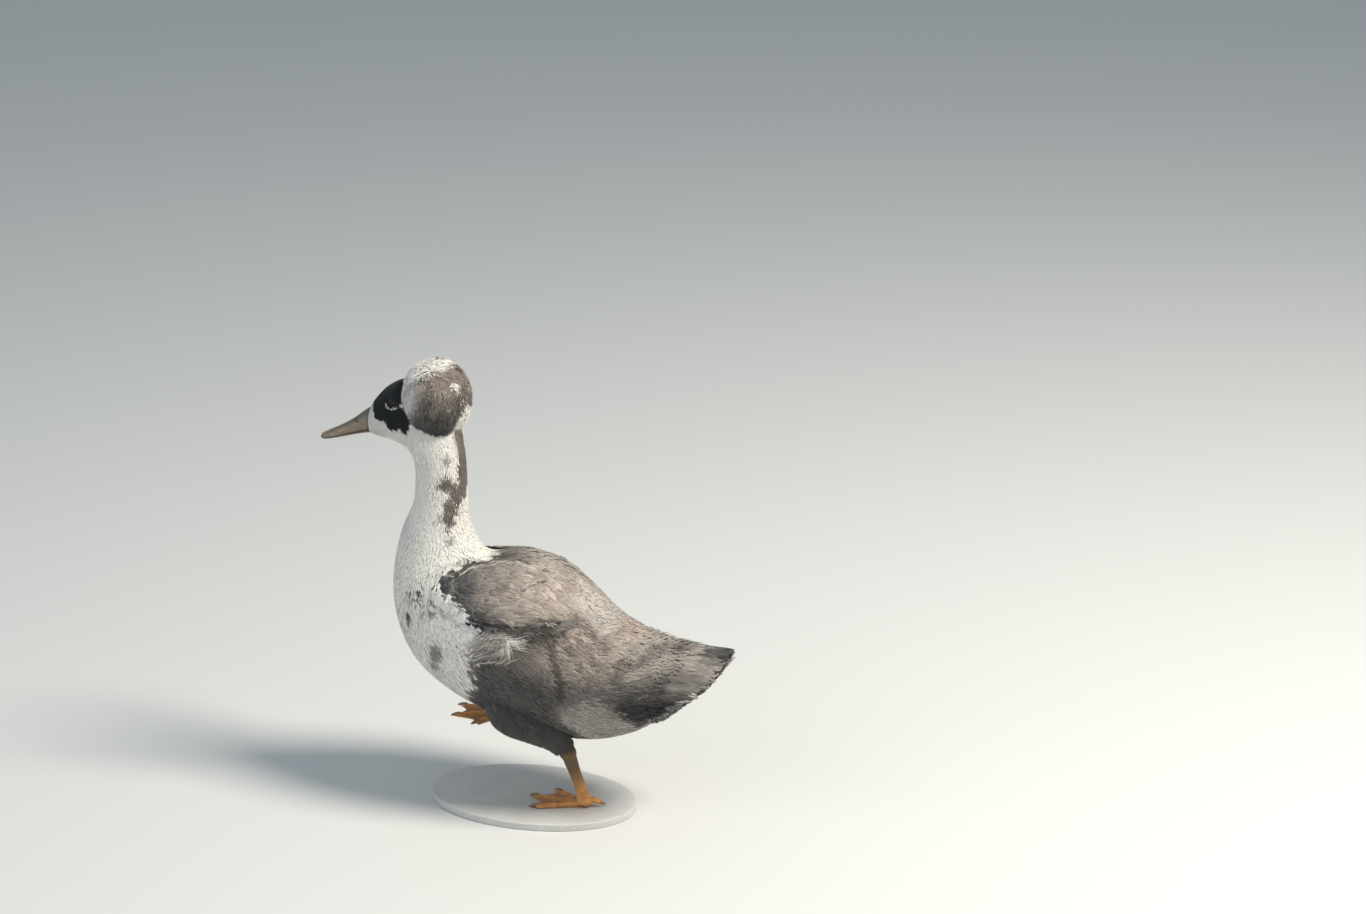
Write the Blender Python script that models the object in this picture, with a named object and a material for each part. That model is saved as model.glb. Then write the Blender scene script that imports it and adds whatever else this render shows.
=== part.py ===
"""A young crested duck, life size, walking with its right foot lifted.

Metres, +Z up. The duck faces -X, its left side is -Y. The origin is on the floor under the middle of its box.
"""

import math

import bmesh
import bpy
import numpy as np
from mathutils import Matrix, Vector
from mathutils.bvhtree import BVHTree

# Driving dimensions, metres and degrees

gap = 0.0003  # between nodes that touch
sharp_angle = math.radians(40)
body_sides = 24  # points round the torso, neck and head
rings_per_row = 2  # of body_line

# The body is one tube from the tail to the bill, given by where its back and its belly line pass and by its
# half width: (name, (x, z) on the back, (x, z) on the belly, breast or throat, half width)
body_line = [
    ("tail core end", (0.180, 0.190), (0.172, 0.160), 0.018),
    ("under the tail", (0.158, 0.192), (0.150, 0.132), 0.034),
    ("tail root", (0.136, 0.197), (0.126, 0.106), 0.046),
    ("vent", (0.110, 0.205), (0.098, 0.090), 0.057),
    ("rump", (0.080, 0.220), (0.062, 0.081), 0.067),
    ("hips", (0.048, 0.245), (0.024, 0.080), 0.074),
    ("back", (0.014, 0.267), (-0.018, 0.087), 0.077),
    ("wing middle", (-0.020, 0.275), (-0.062, 0.102), 0.077),
    ("belly", (-0.044, 0.274), (-0.104, 0.122), 0.072),
    ("breast", (-0.058, 0.272), (-0.138, 0.149), 0.064),
    ("breast front", (-0.066, 0.273), (-0.158, 0.184), 0.055),
    ("crop", (-0.072, 0.278), (-0.166, 0.222), 0.047),
    ("neck base", (-0.078, 0.289), (-0.164, 0.258), 0.039),
    ("lower neck", (-0.084, 0.307), (-0.155, 0.294), 0.032),
    ("middle neck", (-0.085, 0.330), (-0.142, 0.324), 0.028),
    ("upper neck", (-0.085, 0.359), (-0.139, 0.353), 0.026),
    ("throat", (-0.087, 0.387), (-0.142, 0.374), 0.026),
    ("nape", (-0.092, 0.412), (-0.151, 0.384), 0.026),
    ("ear", (-0.105, 0.437), (-0.160, 0.387), 0.025),
    ("crown", (-0.125, 0.454), (-0.168, 0.389), 0.024),
    ("eye", (-0.150, 0.456), (-0.175, 0.390), 0.022),
    ("brow", (-0.169, 0.447), (-0.181, 0.391), 0.019),
    ("lores", (-0.182, 0.434), (-0.186, 0.392), 0.016),
    ("bill base", (-0.190, 0.423), (-0.189, 0.392), 0.0135),
]
tail_cut, neck_cut, head_cut, bill_cut = 2, 12, 16, 23  # rows of body_line where the tube is parted
pear = 0.10  # how much fuller the body is below its middle than above

# The bill's upper half: (x, z of its edge, height over the edge, half width)
upper_bill = [
    (-0.1905, 0.3985, 0.0235, 0.0115),
    (-0.199, 0.3965, 0.0195, 0.0110),
    (-0.210, 0.3935, 0.0142, 0.0112),
    (-0.222, 0.3900, 0.0103, 0.0122),
    (-0.234, 0.3868, 0.0072, 0.0127),
    (-0.243, 0.3848, 0.0050, 0.0108),
    (-0.2475, 0.3842, 0.0030, 0.0060),
]
lower_bill_drop = 0.0042  # thickness of the lower half at its root
nostril_at = (-0.2045, 0.4065)
nostril_size = (0.0042, 0.0016, 0.0030)  # long, high and deep
nostril_side = 0.0098  # from the middle of the bill
bill_arc_points = 9
bill_ring_count = 13
lower_bill_inset = 0.0012  # how much narrower it is than the upper half

eye_at = (-0.1585, 0.4350)  # (x, z) of both
eye_radius = 0.0056
eye_depth = 0.0038  # how far the eyeball's middle lies under the face
lid_radius = 0.0016
lid_flat = 0.0012  # how far the eyeball's middle stands out of the lids

crest_middle = (-0.1150, 0.0, 0.4380)
crest_radii = (0.0372, 0.0378, 0.0434)  # out to the feather tips
crest_core_share = 0.66
crest_pole_back = 8.0  # the crown that the feathers part from leans back by this
crest_rows = [  # degrees from the crown, feathers in the ring, bend, and how far round its front stays bare
    (-16, 3, 34, 0),
    (14, 6, 38, 0),
    (38, 9, 38, 0),
    (64, 10, 38, 0),
    (92, 10, 40, 50),
]
crest_width = 0.0262
crest_thickness = 0.0013
crest_tilt = 0.0010  # each feather's one edge lies under its neighbour
crest_feather_shape = [(0.0, 0.55), (0.55, 1.0), (1.0, 0.42)]  # share of its length, share of its width
crest_curl = 0.0022  # how far its edges bend back
crest_root_depth = 0.08  # of the ball's radius, inside the core
crest_seed = 5

# The folded wing lies on the torso between its lower and its upper edge. Place along the body, then the angle
# from the back's middle down to the upper and to the lower edge, and the depth over the torso
wing_line = [
    (-0.110, 37, 43, 0.0030),
    (-0.098, 29, 50, 0.0080),
    (-0.076, 21, 59, 0.0110),
    (-0.050, 17, 67, 0.0120),
    (-0.018, 15, 69, 0.0110),
    (0.012, 18, 67, 0.0085),
    (0.036, 27, 63, 0.0055),
    (0.052, 41, 56, 0.0030),
]
wing_core_share = 0.55  # of the wing's depth, the rest is feathers
wing_rows = [  # where the row starts along the wing, feathers, length, width, from and to across, slope
    (0.02, 4, 0.32, 0.27, 0.06, 0.98, 0.02),
    (0.20, 5, 0.36, 0.235, 0.02, 1.00, 0.01),
    (0.40, 5, 0.38, 0.235, 0.02, 1.00, -0.01),
    (0.58, 5, 0.40, 0.235, 0.04, 1.00, -0.01),
    (0.74, 3, 0.32, 0.30, 0.16, 0.90, 0.00),
]
wing_vane_shape = [(0.0, 0.65), (0.4, 1.0), (0.8, 0.85), (1.0, 0.30)]
wing_core_end = 0.94  # of the wing's length
wing_grid = (9, 5)  # points of the core along and across the wing
wing_seed = 11
vane_thickness = 0.0007
vane_lift = (-0.0016, 0.0024)  # of a feather's outer face over the core, at its root and its tip
vane_tilt = 0.0005  # each feather's lower edge lies under its neighbour
vane_camber = 0.0004
wing_sink = 0.002  # the plate's inner face starts inside the torso and is cut back to it
body_axis_z = 0.185  # the angles down from the back are counted round this height

tail_end = (0.213, 0.194)  # (x, z) of the middle feathers' tips
tail_half = 0.042  # half width of the fan at its tips
tail_sweep = 0.034  # how much shorter the outer feathers reach
tail_drop = 0.046  # how much lower they hang
tail_core_share = 0.66  # of the way to the tips
tail_quills = 12
quill_root = (0.146, 0.1865, 0.030)  # x, z and half width of the fan where the long feathers start
quill_root_drop = 0.6  # of the drop at the tips
quill_width = 0.0160
quill_layer = 0.0011  # from one feather down to the next
quill_sag = 0.0015
quill_shape = [(0.0, 0.70), (0.85, 1.0), (1.0, 0.48)]
quill_camber = 0.0006
quill_tilt = 0.0004
covert_shape = [(0.0, 0.75), (0.6, 1.0), (1.0, 0.35)]
covert_sink = 0.0030
covert_thickness = 0.0009
tail_sides = 18
tail_rings = 6
tail_seed = 5
covert_rows = [  # middle and span in degrees round the tail, feathers, start and end towards the tips
    (0, 190, 6, 0.02, 0.34),
    (0, 150, 5, 0.18, 0.56),
    (180, 150, 5, 0.02, 0.46),
    (180, 120, 4, 0.28, 0.80),
]

thigh_path = [  # (x, y, z, radius) of the left one, from inside the flank to the hock
    (-0.030, -0.044, 0.133, 0.026),
    (-0.013, -0.050, 0.117, 0.029),
    (0.010, -0.049, 0.102, 0.0235),
    (0.029, -0.043, 0.087, 0.0170),
    (0.040, -0.038, 0.0705, 0.0105),
]
thigh_flat = 0.72  # thickness against depth
thigh_shift_right = (-0.048, 0.015, 0.0125)  # where the right hock is against the mirrored left one
hock_left = (0.040, -0.038, 0.0715)
toe_base_left = (0.0495, -0.014, 0.009)
hock_right = (-0.006, 0.053, 0.086)
toe_base_right = (-0.056, 0.041, 0.079)
shank_radius = (0.0084, 0.0066)  # at the hock and at the toes
shank_flat = 0.74  # thickness against depth

# Toes from the outer to the inner one: direction and length
toe_angles = (-27.0, -2.0, 23.0)
toe_lengths = (0.060, 0.066, 0.053)
toe_height = 0.0068
toe_width = 0.0042
web_height = 0.0018
web_hollow = 0.011  # how far the web's front edge is cut in between two toes
foot_margin = 5.0  # degrees of flesh beside the outer and the inner toe
foot_heel = 0.004  # the toes meet this far behind the shank's middle
foot_grid = (19, 6)  # points across and along the foot
knuckle_size = (0.0092, 0.0078, 0.0062)
knuckle_at = (0.001, 0.0, 0.0068)
claw_length = 0.0075
claw_radii = (0.0020, 0.0018, 0.0005)
claw_high = 0.0024
hind_toe = [  # (x, y, z, radius), y towards the body's middle
    (0.000, 0.002, 0.0075, 0.0042),
    (0.008, 0.004, 0.0075, 0.0034),
    (0.015, 0.006, 0.0055, 0.0024),
    (0.021, 0.008, 0.0030, 0.0007),
]
base_size = (0.230, 0.150)  # long and wide
base_thickness = 0.008
base_round = 0.0012
base_sides = 40
base_middle = (-0.014, 0.0)
foot_turn_left = -8.0  # the planted foot points inwards a little
foot_turn_right, foot_pitch_right, foot_roll_right = 33.0, 3.0, 3.0
foot_drop = 0.008  # from the shank's end down to the lifted foot's sole


def clear_scene():
    for thing in list(bpy.data.objects):
        bpy.data.objects.remove(thing, do_unlink=True)


def make_collection(name, hidden=False):
    made = bpy.data.collections.new(name)
    made.hide_render = hidden
    bpy.context.scene.collection.children.link(made)
    return made


def add_object(name, mesh, material, collection):
    """A new object of a mesh; what only cuts or joins others is drawn as wires."""
    made = bpy.data.objects.new(name, mesh)
    made.data.materials.append(material)
    collection.objects.link(made)
    if collection.hide_render:
        made.hide_render = True
        made.display_type = "WIRE"
    return made


def make_material(name, colour, roughness, metallic=0.0):
    material = bpy.data.materials.new(name)
    material.use_nodes = True
    shader = material.node_tree.nodes["Principled BSDF"]
    shader.inputs["Base Color"].default_value = (*colour, 1.0)
    shader.inputs["Roughness"].default_value = roughness
    shader.inputs["Metallic"].default_value = metallic
    return material


def make_object(name, verts, faces, material, collection):
    mesh = bpy.data.meshes.new(name)
    mesh.from_pydata([tuple(map(float, v)) for v in verts], [], [tuple(map(int, f)) for f in faces])
    bm = bmesh.new()
    bm.from_mesh(mesh)
    bmesh.ops.remove_doubles(bm, verts=bm.verts, dist=1e-6)
    bmesh.ops.triangulate(bm, faces=bm.faces)
    bmesh.ops.recalc_face_normals(bm, faces=bm.faces)
    bm.to_mesh(mesh)
    bm.free()
    mesh.shade_smooth()
    mesh.set_sharp_from_angle(angle=sharp_angle)
    return add_object(name, mesh, material, collection)


def loft(rings):
    """Vertices and faces of a closed tube through rings of equal size, with a flat cap at each end."""
    count, sides = len(rings), len(rings[0])
    verts = np.concatenate(rings)
    faces = []
    for i in range(count - 1):
        for j in range(sides):
            a, b = i * sides + j, i * sides + (j + 1) % sides
            faces.append((a, b, b + sides, a + sides))
    faces.append(tuple(range(sides - 1, -1, -1)))
    faces.append(tuple(range((count - 1) * sides, count * sides)))
    return verts, faces


def along(rows, place):
    """The values at a place between rows of numbers, on a smooth curve through them."""
    rows = np.asarray(rows, float)
    last = len(rows) - 1
    i = int(min(max(math.floor(place), 0), last - 1))
    t = place - i
    p0 = rows[i - 1] if i > 0 else 2 * rows[0] - rows[1]
    p1, p2 = rows[i], rows[i + 1]
    p3 = rows[i + 2] if i + 2 <= last else 2 * rows[last] - rows[last - 1]
    return 0.5 * (
        2 * p1 + (p2 - p0) * t + (2 * p0 - 5 * p1 + 4 * p2 - p3) * t * t + (3 * p1 - p0 - 3 * p2 + p3) * t**3
    )


body_numbers = [(*back, *front, half) for _, back, front, half in body_line]


def body_ring(place, grow=0.0, shift=0.0):
    """One closed ring of the body tube, grown outwards and shifted along the tube towards the bill."""
    bx, bz, fx, fz, half = along(body_numbers, place)
    back, front = np.array([bx, bz]), np.array([fx, fz])
    middle, up = (back + front) / 2, (back - front) / 2
    depth = np.linalg.norm(up)
    ahead = np.array([-up[1], up[0]]) / depth
    around = np.linspace(0, 2 * math.pi, body_sides, endpoint=False)
    high = np.cos(around) * (1 + grow / depth)
    side = np.sin(around) * (1 - pear * np.cos(around)) * (half + grow)
    centre = middle + ahead * shift
    x = centre[0] + up[0] * high
    z = centre[1] + up[1] * high
    return np.column_stack([x, side, z])


def body_piece(first, last, grow=0.0):
    """The body tube between two rows, its end faces set back by half the gap."""
    inset = gap / 2 - grow
    made = []
    for place in np.linspace(first, last, (last - first) * rings_per_row + 1):
        shift = inset if place == first else (-inset if place == last else 0.0)
        made.append(body_ring(place, grow, shift))
    return made


def apply_boolean(target, tool, operation, solver="EXACT"):
    step = target.modifiers.new("join", "BOOLEAN")
    step.operation = operation
    step.solver = solver
    step.object = tool
    freeze(target)


def fuse(target, pieces, solver="EXACT"):
    """Joins closed pieces to a node in one union, and keeps its largest closed surface."""
    group = bpy.data.collections.new("pieces")
    for piece in pieces:
        group.objects.link(piece)
    step = target.modifiers.new("fuse", "BOOLEAN")
    step.operation = "UNION"
    step.solver = solver
    step.operand_type = "COLLECTION"
    step.collection = group
    freeze(target)
    for piece in pieces:
        remove(piece)
    bpy.data.collections.remove(group)
    keep_largest(target)


def cut_by_body(thing, first, last, tools):
    """Cuts a piece clear of the body tube by the gap, and keeps its largest part."""
    material = thing.data.materials[0]
    cutter = make_object("cutter", *loft(body_piece(first, last, gap)), material, tools)
    apply_boolean(thing, cutter, "DIFFERENCE")
    remove(cutter)
    keep_largest(thing)


def freeze(target):
    """Makes the evaluated shape the object's own mesh, and drops its modifiers."""
    graph = bpy.context.evaluated_depsgraph_get()
    done = bpy.data.meshes.new_from_object(target.evaluated_get(graph))
    target.modifiers.clear()
    target.data = done


def remove(thing):
    bpy.data.objects.remove(thing, do_unlink=True)


def ball(name, centre, radii, material, collection, segments=24, rings=14):
    bm = bmesh.new()
    bmesh.ops.create_uvsphere(bm, u_segments=segments, v_segments=rings, radius=1.0)
    mesh = bpy.data.meshes.new(name)
    bm.to_mesh(mesh)
    bm.free()
    mesh.transform(Matrix.Translation(centre) @ Matrix.Diagonal((*radii, 1.0)))
    mesh.shade_smooth()
    return add_object(name, mesh, material, collection)


def face_side(x, z):
    """How far out the side of the head is at a height on the side view."""
    probe = BVHTree.FromObject(bpy.data.objects["head"], bpy.context.evaluated_depsgraph_get())
    hit = probe.ray_cast(Vector((x, 0.1, z)), Vector((0, -1, 0)))[0]
    return hit.y


def make_body(parts, feather, pale):
    """The body tube, parted into torso, neck and head."""
    make_object("torso", *loft(body_piece(tail_cut, neck_cut)), feather, parts)
    make_object("neck", *loft(body_piece(neck_cut, head_cut)), pale, parts)
    make_object("head", *loft(body_piece(head_cut, bill_cut)), feather, parts)


def make_eyes(parts, tools, dark, feather):
    """Eyeballs set in sockets, each with a low rim of lids round it."""
    head = bpy.data.objects["head"]
    out = face_side(*eye_at) - eye_depth
    for side, name in ((-1, "eye_left"), (1, "eye_right")):
        centre = (eye_at[0], side * out, eye_at[1])
        wide = eye_radius + lid_radius
        lid = ball("lid", centre, (wide, eye_radius - lid_flat, wide), feather, tools, 14, 8)
        apply_boolean(head, lid, "UNION")
        remove(lid)
        socket = ball("socket", centre, [eye_radius + gap] * 3, dark, tools, 12, 8)
        apply_boolean(head, socket, "DIFFERENCE")
        remove(socket)
        ball(name, centre, [eye_radius] * 3, dark, parts, 12, 8)


def bill_ring(row, below):
    """A ring of the bill: a domed top over a flat edge, or its thin lower half under that edge."""
    x, edge, height, half = row
    arc = np.linspace(0, math.pi, bill_arc_points)
    if below:
        high = edge - gap - np.sin(arc) ** 0.8 * below
        half = half - lower_bill_inset
    else:
        high = edge + np.sin(arc) ** 0.75 * height
    ring = np.column_stack([np.full(bill_arc_points, x), np.cos(arc) * half, high])
    flat = np.linspace(-half, half, 5)[1:-1]
    floor = np.full(3, edge - (gap if below else 0.0))
    ring = np.concatenate([ring, np.column_stack([np.full(3, x), flat, floor])])
    return ring


def make_bill(parts, tools, horn):
    """The bill in two halves that meet on the line of the mouth, with a nostril pit on each side."""
    places = np.linspace(0, len(upper_bill) - 1, bill_ring_count)
    rows = [along(upper_bill, p) for p in places]
    upper = make_object("bill_upper", *loft([bill_ring(r, 0) for r in rows]), horn, parts)
    for side in (-1, 1):
        x, z = nostril_at
        hole = ball("nostril", (x, side * nostril_side, z), nostril_size, horn, tools, 12, 8)
        apply_boolean(upper, hole, "DIFFERENCE")
        remove(hole)
    drops = lower_bill_drop * (1 - 0.55 * places / places[-1])
    lower = [bill_ring(r, d) for r, d in zip(rows[:-1], drops)]
    make_object("bill_lower", *loft(lower), horn, parts)


def torso_chart():
    """Reads the torso's surface by place along the body and by angle from the middle of the back."""
    verts, faces = loft([body_ring(p) for p in np.linspace(0, 14, 85)])
    tree = BVHTree.FromPolygons([Vector(v) for v in verts], faces)
    places = np.linspace(-0.150, 0.130, 57)
    angles = np.radians(np.linspace(-20, 130, 61))
    chart = np.zeros((len(places), len(angles), 3))
    for i, x in enumerate(places):
        for j, angle in enumerate(angles):
            way = Vector((0, -math.sin(angle), math.cos(angle)))
            hit = tree.ray_cast(Vector((x, 0, body_axis_z)) + way * 0.3, -way)[0]
            chart[i, j] = hit if hit else Vector((x, 0, body_axis_z)) + way * 0.02
    return places, angles, chart


def on_chart(chart, x, degrees_down):
    places, angles, points = chart
    i = np.clip((x - places[0]) / (places[1] - places[0]), 0, len(places) - 1.001)
    j = np.clip((math.radians(degrees_down) - angles[0]) / (angles[1] - angles[0]), 0, len(angles) - 1.001)
    i0, j0 = int(i), int(j)
    u, v = i - i0, j - j0
    return (
        points[i0, j0] * (1 - u) * (1 - v)
        + points[i0 + 1, j0] * u * (1 - v)
        + points[i0, j0 + 1] * (1 - u) * v
        + points[i0 + 1, j0 + 1] * u * v
    )


def skin(chart, x, degrees_down, height, side):
    """A point at a height over the torso, on the left side for side -1."""
    step = 0.004
    here = on_chart(chart, x, degrees_down)
    ahead = on_chart(chart, x + step, degrees_down) - on_chart(chart, x - step, degrees_down)
    down = on_chart(chart, x, degrees_down + 2) - on_chart(chart, x, degrees_down - 2)
    out = np.cross(ahead, down)
    out /= np.linalg.norm(out)
    if out @ np.array([0, -math.sin(math.radians(degrees_down)), math.cos(math.radians(degrees_down))]) < 0:
        out = -out
    point = here + out * height
    return point * np.array([1, -side, 1])


def wing_at(along_wing, across):
    """Place, angle and depth of the wing, by shares from its shoulder back and from its top down."""
    x, top, bottom, depth = along(wing_line, along_wing * (len(wing_line) - 1))
    return x, top + (bottom - top) * across, depth


def plate(outer, inner, rows, columns):
    """Faces of a closed plate between two grids of points, split into triangles alike on both sides."""
    n = rows * columns
    faces = []
    for i in range(rows - 1):
        for j in range(columns - 1):
            a = i * columns + j
            for tri in ((a, a + 1, a + 1 + columns), (a, a + 1 + columns, a + columns)):
                faces.append(tri)
                faces.append(tuple(n + k for k in reversed(tri)))
    rim = [j for j in range(columns)]
    rim += [i * columns + columns - 1 for i in range(1, rows)]
    rim += [(rows - 1) * columns + j for j in range(columns - 2, -1, -1)]
    rim += [i * columns for i in range(rows - 2, 0, -1)]
    for a, b in zip(rim, rim[1:] + rim[:1]):
        faces.append((a, a + n, b + n, b))
    return np.array(list(outer) + list(inner)), faces


def wing_point(along_wing, across, lift, side, chart):
    """A point of the wing at a height over the smooth surface of its core."""
    x, angle, depth = wing_at(along_wing, across)
    crown = math.sin(math.pi * min(max(across, 0.02), 0.98)) ** 0.6
    ends = min(1.0, 0.3 + 3.2 * min(max(along_wing, 0.0), max(1.0 - along_wing, 0.0)))
    return skin(chart, x, angle, gap + wing_core_share * depth * crown * ends + lift, side)


def wing_vane(start, across, length, width, slope, side, chart, feather, tools):
    """A feather of the wing, from its sunk root to a free rounded tip that points back."""
    outer, inner = [], []
    for share, wide in wing_vane_shape:
        for lateral in (-1, 0, 1):
            place = start + length * share - 0.05 * length * abs(lateral) * share
            level = across + slope * share + lateral * wide * width / 2
            lift = vane_lift[0] + (vane_lift[1] - vane_lift[0]) * share - vane_tilt * lateral
            lift += vane_camber * (1 - abs(lateral))
            thick = vane_thickness * (1.0 if share < 1 else 0.6)
            outer.append(wing_point(place, level, lift, side, chart))
            inner.append(wing_point(place, level, lift - thick, side, chart))
    return make_object("vane", *plate(outer, inner, len(wing_vane_shape), 3), feather, tools)


def make_wing(name, side, chart, feather, parts, tools):
    """The folded wing: a thin core on the torso with rows of feathers that overlap like shingles."""
    rows, columns = wing_grid
    outer, inner = [], []
    for i in range(rows):
        for j in range(columns):
            place, across = wing_core_end * i / (rows - 1), j / (columns - 1)
            x, angle, _ = wing_at(place, across)
            inner.append(skin(chart, x, angle, -wing_sink, side))
            outer.append(wing_point(place, across, 0.0, side, chart))
    wing = make_object(name, *plate(outer, inner, rows, columns), feather, parts)
    draw = np.random.default_rng(wing_seed)
    vanes = []
    for start, count, length, width, low, high, slope in wing_rows:
        for k in range(count):
            bit = draw.uniform(-0.012, 0.012, 2)
            place = start + bit[0]
            across = low + (high - low) * (k + 0.5) / count + bit[1]
            vanes.append(wing_vane(place, across, length, width, slope, side, chart, feather, tools))
    fuse(wing, vanes)
    cut_by_body(wing, 0, head_cut, tools)
    return wing


def tail_tip(across):
    """Where the tail's rear edge is, from -1 on the left to 1 on the right."""
    x, z = tail_end
    return np.array([x - tail_sweep * across**2, tail_half * across, z - tail_drop * abs(across) ** 1.3])


def tail_surface(turn, share):
    """The tail's outline as a wedge, by the angle round it from the top and from its root to its rear edge."""
    place = (turn / (2 * math.pi) * body_sides) % body_sides
    root = body_ring(tail_cut, 0.0, -gap / 2)
    i = int(place)
    near = root[i % body_sides] + (root[(i + 1) % body_sides] - root[i % body_sides]) * (place - i)
    edge = tail_tip(math.sin(turn)) + np.array([0, 0, 0.0006 * math.cos(turn)])
    ease = share**1.25 if math.cos(turn) < 0 else share**0.8
    return near + (edge - near) * np.array([share, share, ease])


def tail_ring(share, turns):
    """A ring of the tail's core, which narrows to nothing before the feather tips."""
    ring = np.array([tail_surface(t, share) for t in turns])
    middle = (ring[0] + ring[len(ring) // 2]) / 2
    return middle + (ring - middle) * (0.97 - 0.95 * (share / tail_core_share) ** 3)


def tail_covert(turn, start, end, width, feather, tools):
    """A feather that lies on the tail's root, above or below."""
    outer, inner = [], []
    middle = (tail_surface(0, start) + tail_surface(math.pi, start)) / 2
    for share, wide in covert_shape:
        for lateral in (-1, 0, 1):
            reach = start + (end - start) * (share - 0.06 * abs(lateral) * share)
            point = tail_surface(turn + lateral * wide * width / 2, reach)
            out = point - middle
            out[0] = 0
            out /= np.linalg.norm(out)
            lift = covert_sink * (share - 1) - vane_tilt * lateral
            outer.append(point + out * lift)
            inner.append(point + out * (lift - covert_thickness))
    return make_object("vane", *plate(outer, inner, len(covert_shape), 3), feather, tools)


def tail_quill(across, layer, feather, tools):
    """One of the long tail feathers, from inside the core to its tip; the middle pair lies on top."""
    tip = tail_tip(across)
    beside = tail_tip(across + 0.05) - tail_tip(across - 0.05)
    drop = quill_root_drop * tail_drop * abs(across) ** 1.3
    root = np.array([quill_root[0], quill_root[2] * across, quill_root[1] - drop])
    way = tip - root
    out = np.cross(way, beside)
    out /= np.linalg.norm(out) * (1 if out[2] > 0 else -1)
    beside /= np.linalg.norm(beside)
    tilt = math.copysign(quill_tilt, across)
    outer, inner = [], []
    for share, wide in quill_shape:
        sag = quill_sag * math.sin(math.pi * share)
        for lateral in (-1, 0, 1):
            point = root + way * (share - 0.03 * abs(lateral) * share)
            point = point + beside * lateral * wide * quill_width / 2
            high = -sag - layer * quill_layer + quill_camber * (1 - abs(lateral)) + tilt * lateral
            outer.append(point + out * high)
            inner.append(point + out * (high - vane_thickness))
    return make_object("vane", *plate(outer, inner, len(quill_shape), 3), feather, tools)


def make_tail(parts, tools, feather):
    """The tail: a short core, the fan of long feathers, and the coverts above and below.

    The vanes cross at so flat an angle that the exact solver leaves edges of four faces, so it isn't used here.
    """
    turns = np.linspace(0, 2 * math.pi, tail_sides, endpoint=False)
    rings = [tail_ring(share, turns) for share in np.linspace(0, tail_core_share, tail_rings)]
    tail = make_object("tail", *loft(rings), feather, parts)
    vanes = []
    draw = np.random.default_rng(tail_seed)
    half = tail_quills // 2
    for k in range(tail_quills):
        across = (k - (tail_quills - 1) / 2) / half + draw.uniform(-0.02, 0.02)
        vanes.append(tail_quill(across, abs(k - (tail_quills - 1) / 2), feather, tools))
    for centre, turn_span, count, start, end in covert_rows:
        for k in range(count):
            turn = math.radians(centre + turn_span * ((k + 0.5) / count - 0.5) + draw.uniform(-2.0, 2.0))
            width = math.radians(turn_span / count) * 1.25
            vanes.append(tail_covert(turn, start, end, width, feather, tools))
    fuse(tail, vanes, "MANIFOLD")
    return tail


def crest_feather(from_pole, around, bend, length, material, tools):
    """A crest feather: it leaves the core, bends over and lies along the ball, wide and thin."""
    middle, radii = np.array(crest_middle), np.array(crest_radii)
    lean = math.radians(crest_pole_back)
    pole, fore = np.array([math.sin(lean), 0, math.cos(lean)]), np.array([-math.cos(lean), 0, math.sin(lean)])
    level = fore * math.cos(around) + np.array([0, 1.0, 0]) * math.sin(around)
    side = np.cross(pole, level)
    outer, inner = [], []
    root = crest_core_share - crest_root_depth
    for share, wide in crest_feather_shape:
        angle = from_pole + bend * share
        way = pole * math.cos(angle) + level * math.sin(angle)
        reach = root + (length - root) * share**0.33
        for lateral in (-1, 0, 1):
            spread = side * lateral * wide * crest_width / 2
            back = -crest_curl * (wide * lateral) ** 2 - crest_tilt * lateral
            thick = crest_thickness * (1 - 0.5 * share)
            outer.append(middle + way * (radii * reach + back) + spread)
            inner.append(middle + way * (radii * reach + back - thick) + spread)
    return make_object("vane", *plate(outer, inner, len(crest_feather_shape), 3), material, tools)


def make_crest(parts, tools, feather):
    """The crest: a core, and rings of feathers round its crown that end on the ball's surface."""
    core = [crest_core_share * r for r in crest_radii]
    crest = ball("crest", crest_middle, core, feather, parts, 12, 7)
    draw = np.random.default_rng(crest_seed)
    vanes = []
    for row, (from_pole, count, bend, front) in enumerate(crest_rows):
        for k in range(count):
            around = 2 * math.pi * (k + 0.5 * (row % 2) + 0.25) / count
            away = math.degrees(abs(math.atan2(math.sin(around), math.cos(around))))
            if away < front:
                continue
            jitter = draw.uniform(-1, 1, 3)
            start = math.radians(from_pole + 2.0 * jitter[0])
            turn = around + 0.04 * jitter[1]
            length = 1.0 - 0.02 * abs(jitter[2])
            vanes.append(crest_feather(start, turn, math.radians(bend), length, feather, tools))
    fuse(crest, vanes)
    cut_by_body(crest, neck_cut, bill_cut, tools)
    return crest


def keep_largest(thing):
    """Keeps only the closed surface of a mesh that has the most faces."""
    bm = bmesh.new()
    bm.from_mesh(thing.data)
    bmesh.ops.triangulate(bm, faces=bm.faces)
    left, groups = set(bm.faces), []
    while left:
        face = left.pop()
        group, edge = [face], [face]
        while edge:
            for line in edge.pop().edges:
                for beside in line.link_faces:
                    if beside in left and len(line.link_faces) == 2:
                        left.discard(beside)
                        group.append(beside)
                        edge.append(beside)
        groups.append(group)
    groups.sort(key=len)
    bmesh.ops.delete(bm, geom=[f for g in groups[:-1] for f in g], context="FACES")
    bm.to_mesh(thing.data)
    bm.free()


def tube(path, radii, flat, sides=14):
    """Rings of an oval tube along a path of points, flattened sideways."""
    path = np.asarray(path, float)
    rings = []
    around = np.linspace(0, 2 * math.pi, sides, endpoint=False)
    for i, (point, radius) in enumerate(zip(path, radii)):
        tangent = path[min(i + 1, len(path) - 1)] - path[max(i - 1, 0)]
        tangent /= np.linalg.norm(tangent)
        sideways = np.cross(tangent, [1.0, 0, 0.01])
        sideways /= np.linalg.norm(sideways)
        deep = np.cross(sideways, tangent)
        rings.append(
            point + radius * (np.cos(around)[:, None] * deep + flat * np.sin(around)[:, None] * sideways)
        )
    return rings


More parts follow.
